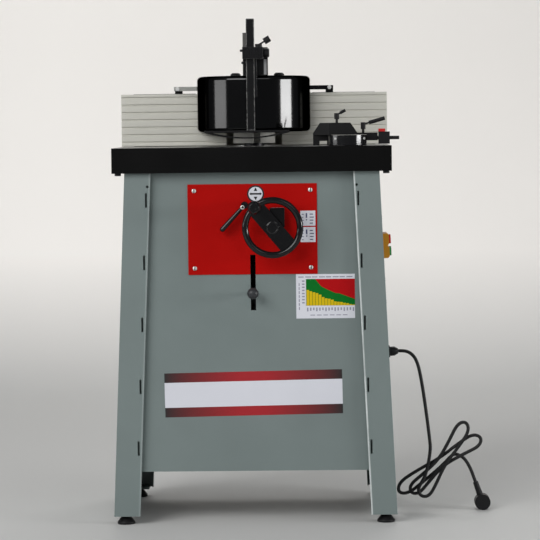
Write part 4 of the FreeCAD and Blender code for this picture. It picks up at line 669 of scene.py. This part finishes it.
def screws(name, heads, radius, height, body, material=zinc, replaced=()):
    """Slotted screws of one size in millimetres, each with its seat, its facing and its slot's direction."""
    bm = bmesh.new()
    for seat, axis, along in heads:
        slotted(bm, seat, axis, along, radius * MM, height * MM)
    piece(name, to_mesh(name, bm, clean=False), body, [material, print_black_and_slot_shade], replaced, HEAD_DEGREES)


def block(u0, v0, u1, v1):
    """A rectangle's corners on a print, in millimetres."""
    return [(u0, v0), (u1, v0), (u1, v1), (u0, v1)]


def disc(u, v, radius, count=56):
    """A circle's points on a print, in millimetres."""
    turns = [math.tau * i / count for i in range(count)]
    return [(u + radius * math.cos(a), v + radius * math.sin(a)) for a in turns]


def moved(outline, u, v):
    """An outline shifted on its print."""
    return [(a + u, b + v) for a, b in outline]


def front_face(y):
    """The origin, right and up of prints on an upright face towards the operator."""
    return Y * y, X, Z


def label(name, face, layers, tilt=0.0, body="stand"):
    """A print on a face: layers of flat shapes, each a print's thickness above the last."""
    origin, right, up = face
    out = right.cross(up)
    first = layers[0][1][0]
    middle = [sum(point[i] for point in first) / len(first) for i in (0, 1)]
    cosine, sine = math.cos(tilt), math.sin(tilt)
    bm = bmesh.new()
    for level, (_, outlines) in enumerate(layers):
        base, known = origin + out * level * PRINT, len(bm.faces)
        for outline in outlines:
            corners = [base + right * (middle[0] + u * cosine - v * sine) * MM
                       + up * (middle[1] + u * sine + v * cosine) * MM
                       for u, v in moved(outline, -middle[0], -middle[1])]
            extrude(bm, corners, out * PRINT)
        paint_since(bm, known, level)
    piece(name, to_mesh(name, bm, clean=False), body, [row[0] for row in layers], smooth=0)


# Red plate: screws, arrow disc and two small labels
PLATE_FRONT = front_face(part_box("control_plate")[0].y)
PANEL_FRONT = front_face(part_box("front_panel")[0].y)
HEAD_RADIUS = 5
heads_low, heads_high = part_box("control_plate_screws")
head_inset = HEAD_RADIUS * MM
plate_seats = [Vector((x, heads_high.y, z)) for x in (heads_low.x + head_inset, heads_high.x - head_inset)
               for z in (heads_low.z + head_inset, heads_high.z - head_inset)]
screws("plate_screws", [(seat, -Y, Z) for seat in plate_seats], HEAD_RADIUS,
       (heads_high.y - heads_low.y) / MM, "stand", replaced=("control_plate_screws",))

ARROW_DISC = (8, 762)
ARROW_RING, ARROW_FIELD = 19.6, 16.2
ARROW_UP = [(-4.2, 6.5), (4.2, 6.5), (0, 15)]
ARROW_ACROSS = [(-14.5, 0), (-10, 3.4), (-10, 1.9), (10, 1.9), (10, 3.4), (14.5, 0), (10, -3.4), (10, -1.9),
                (-10, -1.9), (-10, -3.4)]
ARROW_DOWN = [(x, -z) for x, z in ARROW_UP]
label("arrow_disc", PLATE_FRONT, [
    (print_black_and_slot_shade, [disc(*ARROW_DISC, ARROW_RING)]),
    (label_white, [disc(*ARROW_DISC, ARROW_FIELD)]),
    (print_black_and_slot_shade, [moved(shape, *ARROW_DISC) for shape in (ARROW_UP, ARROW_ACROSS, ARROW_DOWN)])])

SMALL_LABEL_X, SMALL_LABEL_SIDE = 110, 34.5
SMALL_LABELS = {"small_label_upper": 687.5, "small_label_lower": 650}
LINE_HEIGHT, SHORT_LINE_HEIGHT, DOT_RADIUS = 2.2, 1.6, 1.6


def small_label(name, z):
    """A white label with a bar, a dot and rows of short marks, placed by shares of its side."""
    x, side = SMALL_LABEL_X, SMALL_LABEL_SIDE
    marks = [block(x + 0.36 * side, z + 0.52 * side, x + 0.46 * side, z + 0.84 * side),
             disc(x + 0.41 * side, z + 0.4 * side, DOT_RADIUS, 20)]
    for row in range(4):
        level = z + (0.14 + 0.2 * row) * side
        right, short_right = x + (0.84 + 0.03 * (row % 3)) * side, x + (0.2 + 0.03 * (row % 2)) * side
        marks.append(block(x + 0.62 * side, level, right, level + LINE_HEIGHT))
        marks.append(block(x + 0.1 * side, level, short_right, level + SHORT_LINE_HEIGHT))
    label(name, PLATE_FRONT, [(label_white, [block(x, z, x + side, z + side)]), (label_blue, marks)])


for label_name, label_bottom in SMALL_LABELS.items():
    small_label(label_name, label_bottom)

# Speed chart: shares of the sheet's width from the left and of its height from the top
CHART_LEFT, CHART_TOP, CHART_WIDTH, CHART_HEIGHT = 98.5, 576, 135, 102
FIELD_LEFT, FIELD_TOP, FIELD_RIGHT, FIELD_BOTTOM = 0.17, 0.11, 1.0, 0.71
RED_EDGE = [(0.325, 0.11), (0.43, 0.28), (0.55, 0.36), (0.67, 0.43), (0.74, 0.44), (0.86, 0.5), (1.0, 0.57)]
BAR_TOPS = [0.355, 0.385, 0.41, 0.43, 0.465, 0.52, 0.55, 0.56, 0.58, 0.62, 0.63, 0.635, 0.655, 0.665, 0.685,
            0.695]
BAR_GAP = 0.12
# A mark under each bar: its sides in shares of the bar's step, its top and bottom, and what some lack
BAR_MARK_LEFT, BAR_MARK_RIGHT, BAR_MARK_TOP, BAR_MARK_BOTTOM, BAR_MARK_LESS = 0.25, 0.7, 0.755, 0.84, 0.012
# Rows of marks: the first mark's left, top, right and bottom, the steps to the next, what every second
# one is longer by, and their count
MARK_ROWS = [((0.04, 0.052, 0.13, 0.075), (0.117, 0), 0.012, 8),
             ((0.24, 0.915, 0.32, 0.935), (0.11, 0), 0, 6),
             ((0.1, 0.14, 0.145, 0.17), (0, 0.07), 0, 8),
             ((0.045, 0.2, 0.06, 0.265), (0, 0.09), 0, 7)]


def on_chart(*corners):
    """Places on the chart, from shares of its sheet."""
    return [(CHART_LEFT + u * CHART_WIDTH, CHART_TOP - v * CHART_HEIGHT) for u, v in corners]


def chart_block(u0, v0, u1, v1):
    """A rectangle on the chart, from shares of its sheet."""
    return on_chart((u0, v0), (u0, v1), (u1, v1), (u1, v0))


def chart():
    """A white sheet with a red field, a green band, yellow bars and rows of marks for its scales."""
    step = (FIELD_RIGHT - FIELD_LEFT) / len(BAR_TOPS)
    lefts = [FIELD_LEFT + step * number for number in range(len(BAR_TOPS))]
    marks = [chart_block(left + step * BAR_MARK_LEFT, BAR_MARK_TOP, left + step * BAR_MARK_RIGHT,
                         BAR_MARK_BOTTOM - BAR_MARK_LESS * (number % 3)) for number, left in enumerate(lefts)]
    for (left, top, right, bottom), (across, down), longer, count in MARK_ROWS:
        marks += [chart_block(left + across * number, top + down * number,
                              right + across * number + longer * (number % 2), bottom + down * number)
                  for number in range(count)]
    band = on_chart((FIELD_LEFT, FIELD_TOP), (FIELD_LEFT, FIELD_BOTTOM), (FIELD_RIGHT, FIELD_BOTTOM),
                    *reversed(RED_EDGE))
    bars = [chart_block(left + step * BAR_GAP, top, left + step, FIELD_BOTTOM)
            for left, top in zip(lefts, BAR_TOPS)]
    label("speed_chart", PANEL_FRONT, [
        (label_white, [chart_block(0, 0, 1, 1)]),
        (label_grey, marks),
        (label_red, [chart_block(FIELD_LEFT, FIELD_TOP, FIELD_RIGHT, FIELD_BOTTOM)]),
        (label_green, [band]),
        (label_yellow, bars)])


chart()

# Banner across the panel: a plain white band between two bars
BANNER_X, BANNER_Z, BANNER_WIDTH, BANNER_HEIGHT = -2, 302, 410, 102
BANNER_BAR = 22
BANNER_TILT = math.radians(0.87)
BANNER_DARK, BANNER_RED = (0.012, 0.01, 0.01), (0.33, 0.006, 0.012)
banner_left, banner_low = BANNER_X - BANNER_WIDTH / 2, BANNER_Z - BANNER_HEIGHT / 2
banner_right, banner_top = BANNER_X + BANNER_WIDTH / 2, BANNER_Z + BANNER_HEIGHT / 2
banner_print = faded_bar("banner_bar", BANNER_DARK, BANNER_RED, banner_left * MM, banner_right * MM)
label("front_banner", PANEL_FRONT, [
    (label_white, [block(banner_left, banner_low, banner_right, banner_top)]),
    (banner_print, [block(banner_left, banner_low, banner_right, banner_low + BANNER_BAR),
                    block(banner_left, banner_top - BANNER_BAR, banner_right, banner_top)])],
      BANNER_TILT)

# Handwheel's hub cap, the lock lever's screw and the indicator's window
HUB_CAP = [(0, 0), (15, 0), (15, 1.6, 0.8), (11.5, 2.4, 0.6), (10.5, 1.8, 0.4), (0, 2.2)]
shaft_low, shaft_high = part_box("wheel_shaft")
shaft_centre = (shaft_low + shaft_high) / 2
lathe("hub_cap", HUB_CAP, (shaft_centre.x, shaft_low.y, shaft_centre.z), -Y, "handwheel", satin_black)

LEVER_SCREW = (-21.5, -267, 732.2)
SCREW_RING = [(0, 0), (5, 0), (5, 6, 1), (3, 6.6, 0.5), (2.4, 4.6), (0, 4.6)]
lathe("lever_screw", SCREW_RING, at(*LEVER_SCREW), -Y, "height_lock", zinc, segments=40)

WINDOW_INSET, WINDOW_EDGE = 4, 1.2
DRUM_COUNT, DRUM_GAP = 3, 1
DIGIT_INSET, DIGIT_HEIGHT, DIGIT_STROKE = 1.6, 8, 1


def zero(u, v, width, height, stroke):
    """A nought as four strokes."""
    return [block(u, v, u + stroke, v + height), block(u + width - stroke, v, u + width, v + height),
            block(u + stroke, v, u + width - stroke, v + stroke),
            block(u + stroke, v + height - stroke, u + width - stroke, v + height)]


def indicator_window():
    """A pale frame, dark drums and a nought on each, on the indicator's top."""
    low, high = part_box("position_indicator")
    inset, edge = WINDOW_INSET * (X + Y), WINDOW_EDGE * (X + Y)
    drums_low, drums_high = low / MM + inset, high / MM - inset
    frame_low, frame_high = drums_low - edge, drums_high + edge
    drum_width = (drums_high.x - drums_low.x - DRUM_GAP) / DRUM_COUNT - DRUM_GAP
    digits = []
    for number in range(DRUM_COUNT):
        left = drums_low.x + DRUM_GAP + number * (drum_width + DRUM_GAP)
        digits += zero(left + DIGIT_INSET, drums_low.y + WINDOW_INSET, drum_width - 2 * DIGIT_INSET,
                       DIGIT_HEIGHT, DIGIT_STROKE)
    label("indicator_window", (Z * high.z, X, Y), [
        (label_white, [block(frame_low.x, frame_low.y, frame_high.x, frame_high.y)]),
        (print_black_and_slot_shade, [block(drums_low.x, drums_low.y, drums_high.x, drums_high.y)]),
        (label_white, digits)])


indicator_window()

# Pressure post: scale plate, steel rail and small screws
POST_FRONT = front_face(-136.7 * MM)
SCALE_WIDTH, SCALE_BOTTOM, SCALE_INSET = 8, 1101, 0.6
TICK_COUNT, TICK_STEP, TICK_STROKE, TICK_INSET = 12, 2.5, 0.5, 0.3
TICK_LENGTH, FIFTH_TICK_LENGTH = 2.4, 4
RAIL_WIDTH, RAIL_TOP, RAIL_INSET, RAIL_LIFT = 6.4, 1072, 2.6, 1.5
POST_SCREWS = [(-21, -155, 1092), (-17.8, -151, 1064)]
post_low, post_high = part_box("pressure_post")
scale_left, scale_top = post_low.x / MM + SCALE_INSET, post_high.z / MM - SCALE_INSET
scale_right = post_low.x / MM + SCALE_WIDTH - SCALE_INSET
ticks = []
for number in range(TICK_COUNT):
    tick_top = scale_top - TICK_STROKE - number * TICK_STEP
    tick_left = scale_right - (TICK_LENGTH if number % 5 else FIFTH_TICK_LENGTH)
    ticks.append(block(tick_left, tick_top - TICK_STROKE, scale_right - TICK_INSET, tick_top))
rail_right, rail_bottom = post_high.x / MM - RAIL_INSET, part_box("guard_hood")[1].z / MM + RAIL_LIFT
rail = block(rail_right - RAIL_WIDTH, rail_bottom, rail_right, RAIL_TOP)
label("post_rail", POST_FRONT, [(steel_bar, [rail])])
label("post_scale", POST_FRONT, [(scale_grey, [block(scale_left, SCALE_BOTTOM, scale_right, scale_top)]),
                                 (print_black_and_slot_shade, ticks)])
screws("post_screws", [(at(*seat), -X, Z) for seat in POST_SCREWS], 3, 6, "stand", oxide_black)

# Mitre gauge: degree scale on the drum and two screws in its rim
drum_low, drum_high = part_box("mitre_protractor")
drum_radius = (drum_high.x - drum_low.x) / 2
DRUM_CENTRE = Vector((0.219, -0.22, drum_high.z))
DEGREES_FROM, DEGREES_TO, DEGREE_STEP, PLATE_STEP = 218, 354, 4, 2
SCALE_INNER, SCALE_OUTER = drum_radius - 8 * MM, drum_radius - 1 * MM
DEGREE_PLATE = 0.4 * MM
DEGREE_LINE, FIFTH_DEGREE_LINE, LINE_INSET, HALF_LINE = 3 * MM, 5 * MM, 0.5 * MM, 0.25 * MM
RIM_SCREWS, RIM_SCREW_DROP = (235, 327), 8.5 * MM


def bearing(degrees):
    """The level direction at that bearing."""
    return Vector((math.cos(math.radians(degrees)), math.sin(math.radians(degrees)), 0))


def around(radius, degrees):
    """A place on the drum's top at that radius and bearing."""
    return DRUM_CENTRE + bearing(degrees) * radius


def degree_scale():
    """A curved plate on the drum's top with a line each 4 degrees, every fifth one longer."""
    bm = bmesh.new()
    outer = [around(SCALE_OUTER, angle) for angle in range(DEGREES_FROM, DEGREES_TO + 1, PLATE_STEP)]
    inner = [around(SCALE_INNER, angle) for angle in range(DEGREES_TO, DEGREES_FROM - 1, -PLATE_STEP)]
    lift = Z * DEGREE_PLATE
    extrude(bm, outer + inner, lift)
    known = len(bm.faces)
    for number, angle in enumerate(range(DEGREES_FROM + DEGREE_STEP, DEGREES_TO, DEGREE_STEP)):
        length = DEGREE_LINE if number % 5 else FIFTH_DEGREE_LINE
        near, far = around(SCALE_OUTER - length, angle) + lift, around(SCALE_OUTER - LINE_INSET, angle) + lift
        half = (far - near).cross(Z).normalized() * HALF_LINE
        extrude(bm, [near - half, far - half, far + half, near + half], Z * PRINT)
    paint_since(bm, known, 1)
    piece("degree_scale", to_mesh("degree_scale", bm, clean=False), "mitre_head", [aluminium, print_black_and_slot_shade],
          smooth=0)


degree_scale()
rim_heads = [(around(drum_radius, angle) - Z * RIM_SCREW_DROP, bearing(angle), Z) for angle in RIM_SCREWS]
screws("rim_screws", rim_heads, 3, 2.2, "mitre_head")

# Right side: screws in the wall and the marks of the two buttons
SWITCH_Y, SWITCH_FOOT = -0.13, 0.606
SIDE_SCREWS = (0.7, 0.554, 0.502)
BUTTON_FACE, STOP_RISE, START_RISE = 21 * MM, 43 * MM, 15 * MM
MARK_REACH, MARK_STROKE, MARK_STEPS = 5, 1.3, 40
wall_low, wall_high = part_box("right_side_frame")


def wall_place(y, z):
    """A place on the right side's splayed outer face."""
    return Vector((wall_high.x - math.tan(SPLAY) * (z - wall_low.z), y, z))


def button_face(rise):
    """The origin, right and up of prints on a button at that height above the switch's foot."""
    return wall_place(SWITCH_Y, SWITCH_FOOT) + WALL_UP * rise + WALL_OUT * BUTTON_FACE, Y, WALL_UP


screws("side_screws", [(wall_place(SWITCH_Y, z), WALL_OUT, Y) for z in SIDE_SCREWS], 5.5, 3.5, "stand",
       oxide_black)
label("stop_mark", button_face(STOP_RISE), [
    (label_white, [disc(0, 0, MARK_REACH, MARK_STEPS)]),
    (plastic_red, [disc(0, 0, MARK_REACH - MARK_STROKE, MARK_STEPS)])], body="stop_button")
label("start_mark", button_face(START_RISE), [
    (label_white, [block(-MARK_STROKE / 2, -MARK_REACH, MARK_STROKE / 2, MARK_REACH)])],
      body="start_button")

# Back: screws in the rear panel and in the extraction housing, a pair at each place
PANEL_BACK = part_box("rear_panel")[1].y / MM
REAR_SCREWS = [(202, 760), (212, 560), (222, 360), (231, 160)]
HOUSING_BACK = 190
HOUSING_SCREWS = [(126, 884), (126, 981)]


def pairs(places, y):
    """Seats on a face towards the back, each with its twin on the other side."""
    return [at(side * x, y, z) for x, z in places for side in (-1, 1)]


screws("rear_screws", [(seat, Y, X + Z) for seat in pairs(REAR_SCREWS, PANEL_BACK)], 5.5, 3, "stand")
screws("housing_screws", [(seat, Y, Z - X) for seat in pairs(HOUSING_SCREWS, HOUSING_BACK)], 5, 3, "stand")


# Stage: a pale floor that sweeps up into a wall, the lamps, an even surround and the camera
FLOOR_COLOUR = (0.6, 0.6, 0.585)
WALL_COLOUR = (0.9, 0.87, 0.83)
WALL_SIDES = grey(0.2)
# Strength of the wall's painted glow
WALL_GLOW = 0.14
WALL_FOOT, WALL_FULL = 0.01, 0.45
WALL_MIDDLE, WALL_END = 1.2, 2.6
SWEEP_FRONT, SWEEP_BACK, SWEEP_TOP, SWEEP_RADIUS, SWEEP_HALF_WIDTH = -12.0, 3.2, 6.0, 1.2, 14.0
SWEEP_STEPS = 16
SURROUND_COLOUR, SURROUND_STRENGTH = (0.9, 0.93, 1, 1), 0.17
# Lamps: place, aim, width, height and power
LAMPS = {
    "window_right": ((4.2, -1.55, 1.05), (0, 0, 1), 2.0, 0.5, 77),
    "window_left": ((-4.2, -1.55, 1.05), (0, 0, 1), 2.2, 0.5, 18),
    "front_left": ((-3.1, -4.4, 3.2), (0, 0, 0.5), 4.2, 3.2, 245),
    "front_right": ((2.6, -6.2, 4.2), (0, 0, 0.5), 3.0, 2.4, 42),
    "back_fill": ((0.6, 2.7, 3.4), (0, 0, 0.6), 2.4, 1.6, 34),
}
CAMERA_PLACE = Vector((0.150, -5.749, 0.930))
CAMERA_YAW, CAMERA_PITCH, CAMERA_ROLL = math.radians(1.155), math.radians(3.57), math.radians(-0.67)
PICTURE_SIZE, FOCAL_PIXELS = 540, 2400
SENSOR_WIDTH = 36
CAMERA_REACH = 100


def stage_paint():
    """A pale floor that turns into a paler wall, which dims to its sides, carries a painted glow that is
    brightest on the left, and shows from its front alone.
    """
    tree = Tree("studio_paint")
    x, _, z = tree.apart()
    rise = tree.span(z, 0, 1, WALL_FOOT, WALL_FULL)
    aside = tree.span(tree.math("ABSOLUTE", x), 0, 1, WALL_MIDDLE, WALL_END)
    cloud = tree.math("MULTIPLY", tree.span(tree.noise(1.5, 3), 0, 1), 0.05)
    wall = tree.mix(aside, WALL_COLOUR, WALL_SIDES)
    tree.color(tree.mix(tree.math("SUBTRACT", rise, cloud), FLOOR_COLOUR, wall))
    tree.set(Roughness=0.6, Specular_IOR_Level=0.2, Emission_Color=(*WALL_COLOUR, 1))
    path = tree.nodes.new("ShaderNodeLightPath")
    seen = tree.math("ADD", path.outputs["Is Camera Ray"], path.outputs["Is Glossy Ray"])
    seen = tree.math("MINIMUM", tree.math("ADD", seen, path.outputs["Is Transmission Ray"]), 1)
    # Painted light: the wall glows for camera, glossy and transmission rays, less towards its sides and
    # fading from left to right
    glow = tree.math("MULTIPLY", tree.math("MULTIPLY", rise, tree.math("SUBTRACT", 1, aside)), WALL_GLOW)
    glow = tree.math("MULTIPLY", glow, tree.span(x, 1, 0.2, -0.8, 1))
    tree.join(tree.math("MULTIPLY", glow, seen), tree.shader.inputs["Emission Strength"])
    geometry = tree.nodes.new("ShaderNodeNewGeometry")
    clear = tree.nodes.new("ShaderNodeBsdfTransparent")
    sides = tree.nodes.new("ShaderNodeMixShader")
    tree.join(geometry.outputs["Backfacing"], sides.inputs[0])
    tree.join(tree.shader.outputs[0], sides.inputs[1])
    tree.join(clear.outputs[0], sides.inputs[2])
    tree.join(sides.outputs[0], tree.nodes["Material Output"].inputs["Surface"])
    return tree.material


def cyclorama():
    """A floor that curves up into a backdrop."""
    corners = [(SWEEP_FRONT, 0), (SWEEP_BACK, 0, SWEEP_RADIUS), (SWEEP_BACK, SWEEP_TOP)]
    line = rounded(corners, SWEEP_STEPS)
    bm = bmesh.new()
    rows = [[bm.verts.new((side * SWEEP_HALF_WIDTH, y, z)) for side in (-1, 1)] for y, z in line]
    for low, high in zip(rows, rows[1:]):
        bm.faces.new([low[0], low[1], high[1], high[0]])
    mesh = bpy.data.meshes.new("studio_floor")
    bm.to_mesh(mesh)
    bm.free()
    mesh.polygons.foreach_set("use_smooth", [True] * len(mesh.polygons))
    mesh.materials.append(stage_paint())
    obj = bpy.data.objects.new("studio_floor", mesh)
    scene.collection.objects.link(obj)


def lamp(name, place, target, width, height, power):
    """A soft rectangular lamp that faces a point."""
    light = bpy.data.lights.new(name, "AREA")
    light.shape = "RECTANGLE"
    light.size, light.size_y = width, height
    light.energy = power
    obj = bpy.data.objects.new(name, light)
    scene.collection.objects.link(obj)
    obj.location = place
    obj.rotation_mode = "QUATERNION"
    obj.rotation_quaternion = (Vector(target) - Vector(place)).to_track_quat("-Z", "Y")
    obj.visible_camera = False


def surround():
    """An even pale light from all round."""
    world = bpy.data.worlds.new("surround")
    world.use_nodes = True
    background = world.node_tree.nodes["Background"]
    background.inputs["Color"].default_value = SURROUND_COLOUR
    background.inputs["Strength"].default_value = SURROUND_STRENGTH
    scene.world = world


def camera():
    """The photograph's viewpoint."""
    level = math.cos(CAMERA_PITCH)
    forward = Vector((-math.sin(CAMERA_YAW) * level, math.cos(CAMERA_YAW) * level, -math.sin(CAMERA_PITCH)))
    right = Vector((math.cos(CAMERA_YAW), math.sin(CAMERA_YAW), 0))
    up = right.cross(forward)
    right, up = (right * math.cos(CAMERA_ROLL) + up * math.sin(CAMERA_ROLL),
                 up * math.cos(CAMERA_ROLL) - right * math.sin(CAMERA_ROLL))
    data = bpy.data.cameras.new("camera")
    data.sensor_width = SENSOR_WIDTH
    data.lens = SENSOR_WIDTH * FOCAL_PIXELS / PICTURE_SIZE
    data.clip_end = CAMERA_REACH
    obj = bpy.data.objects.new("camera", data)
    scene.collection.objects.link(obj)
    turned = Matrix((right, up, -forward)).transposed().to_4x4()
    obj.matrix_world = Matrix.Translation(CAMERA_PLACE) @ turned
    scene.camera = obj


cyclorama()
surround()
for lamp_name, lamp_row in LAMPS.items():
    lamp(lamp_name, *lamp_row)
camera()
scene.view_settings.view_transform = "Standard"
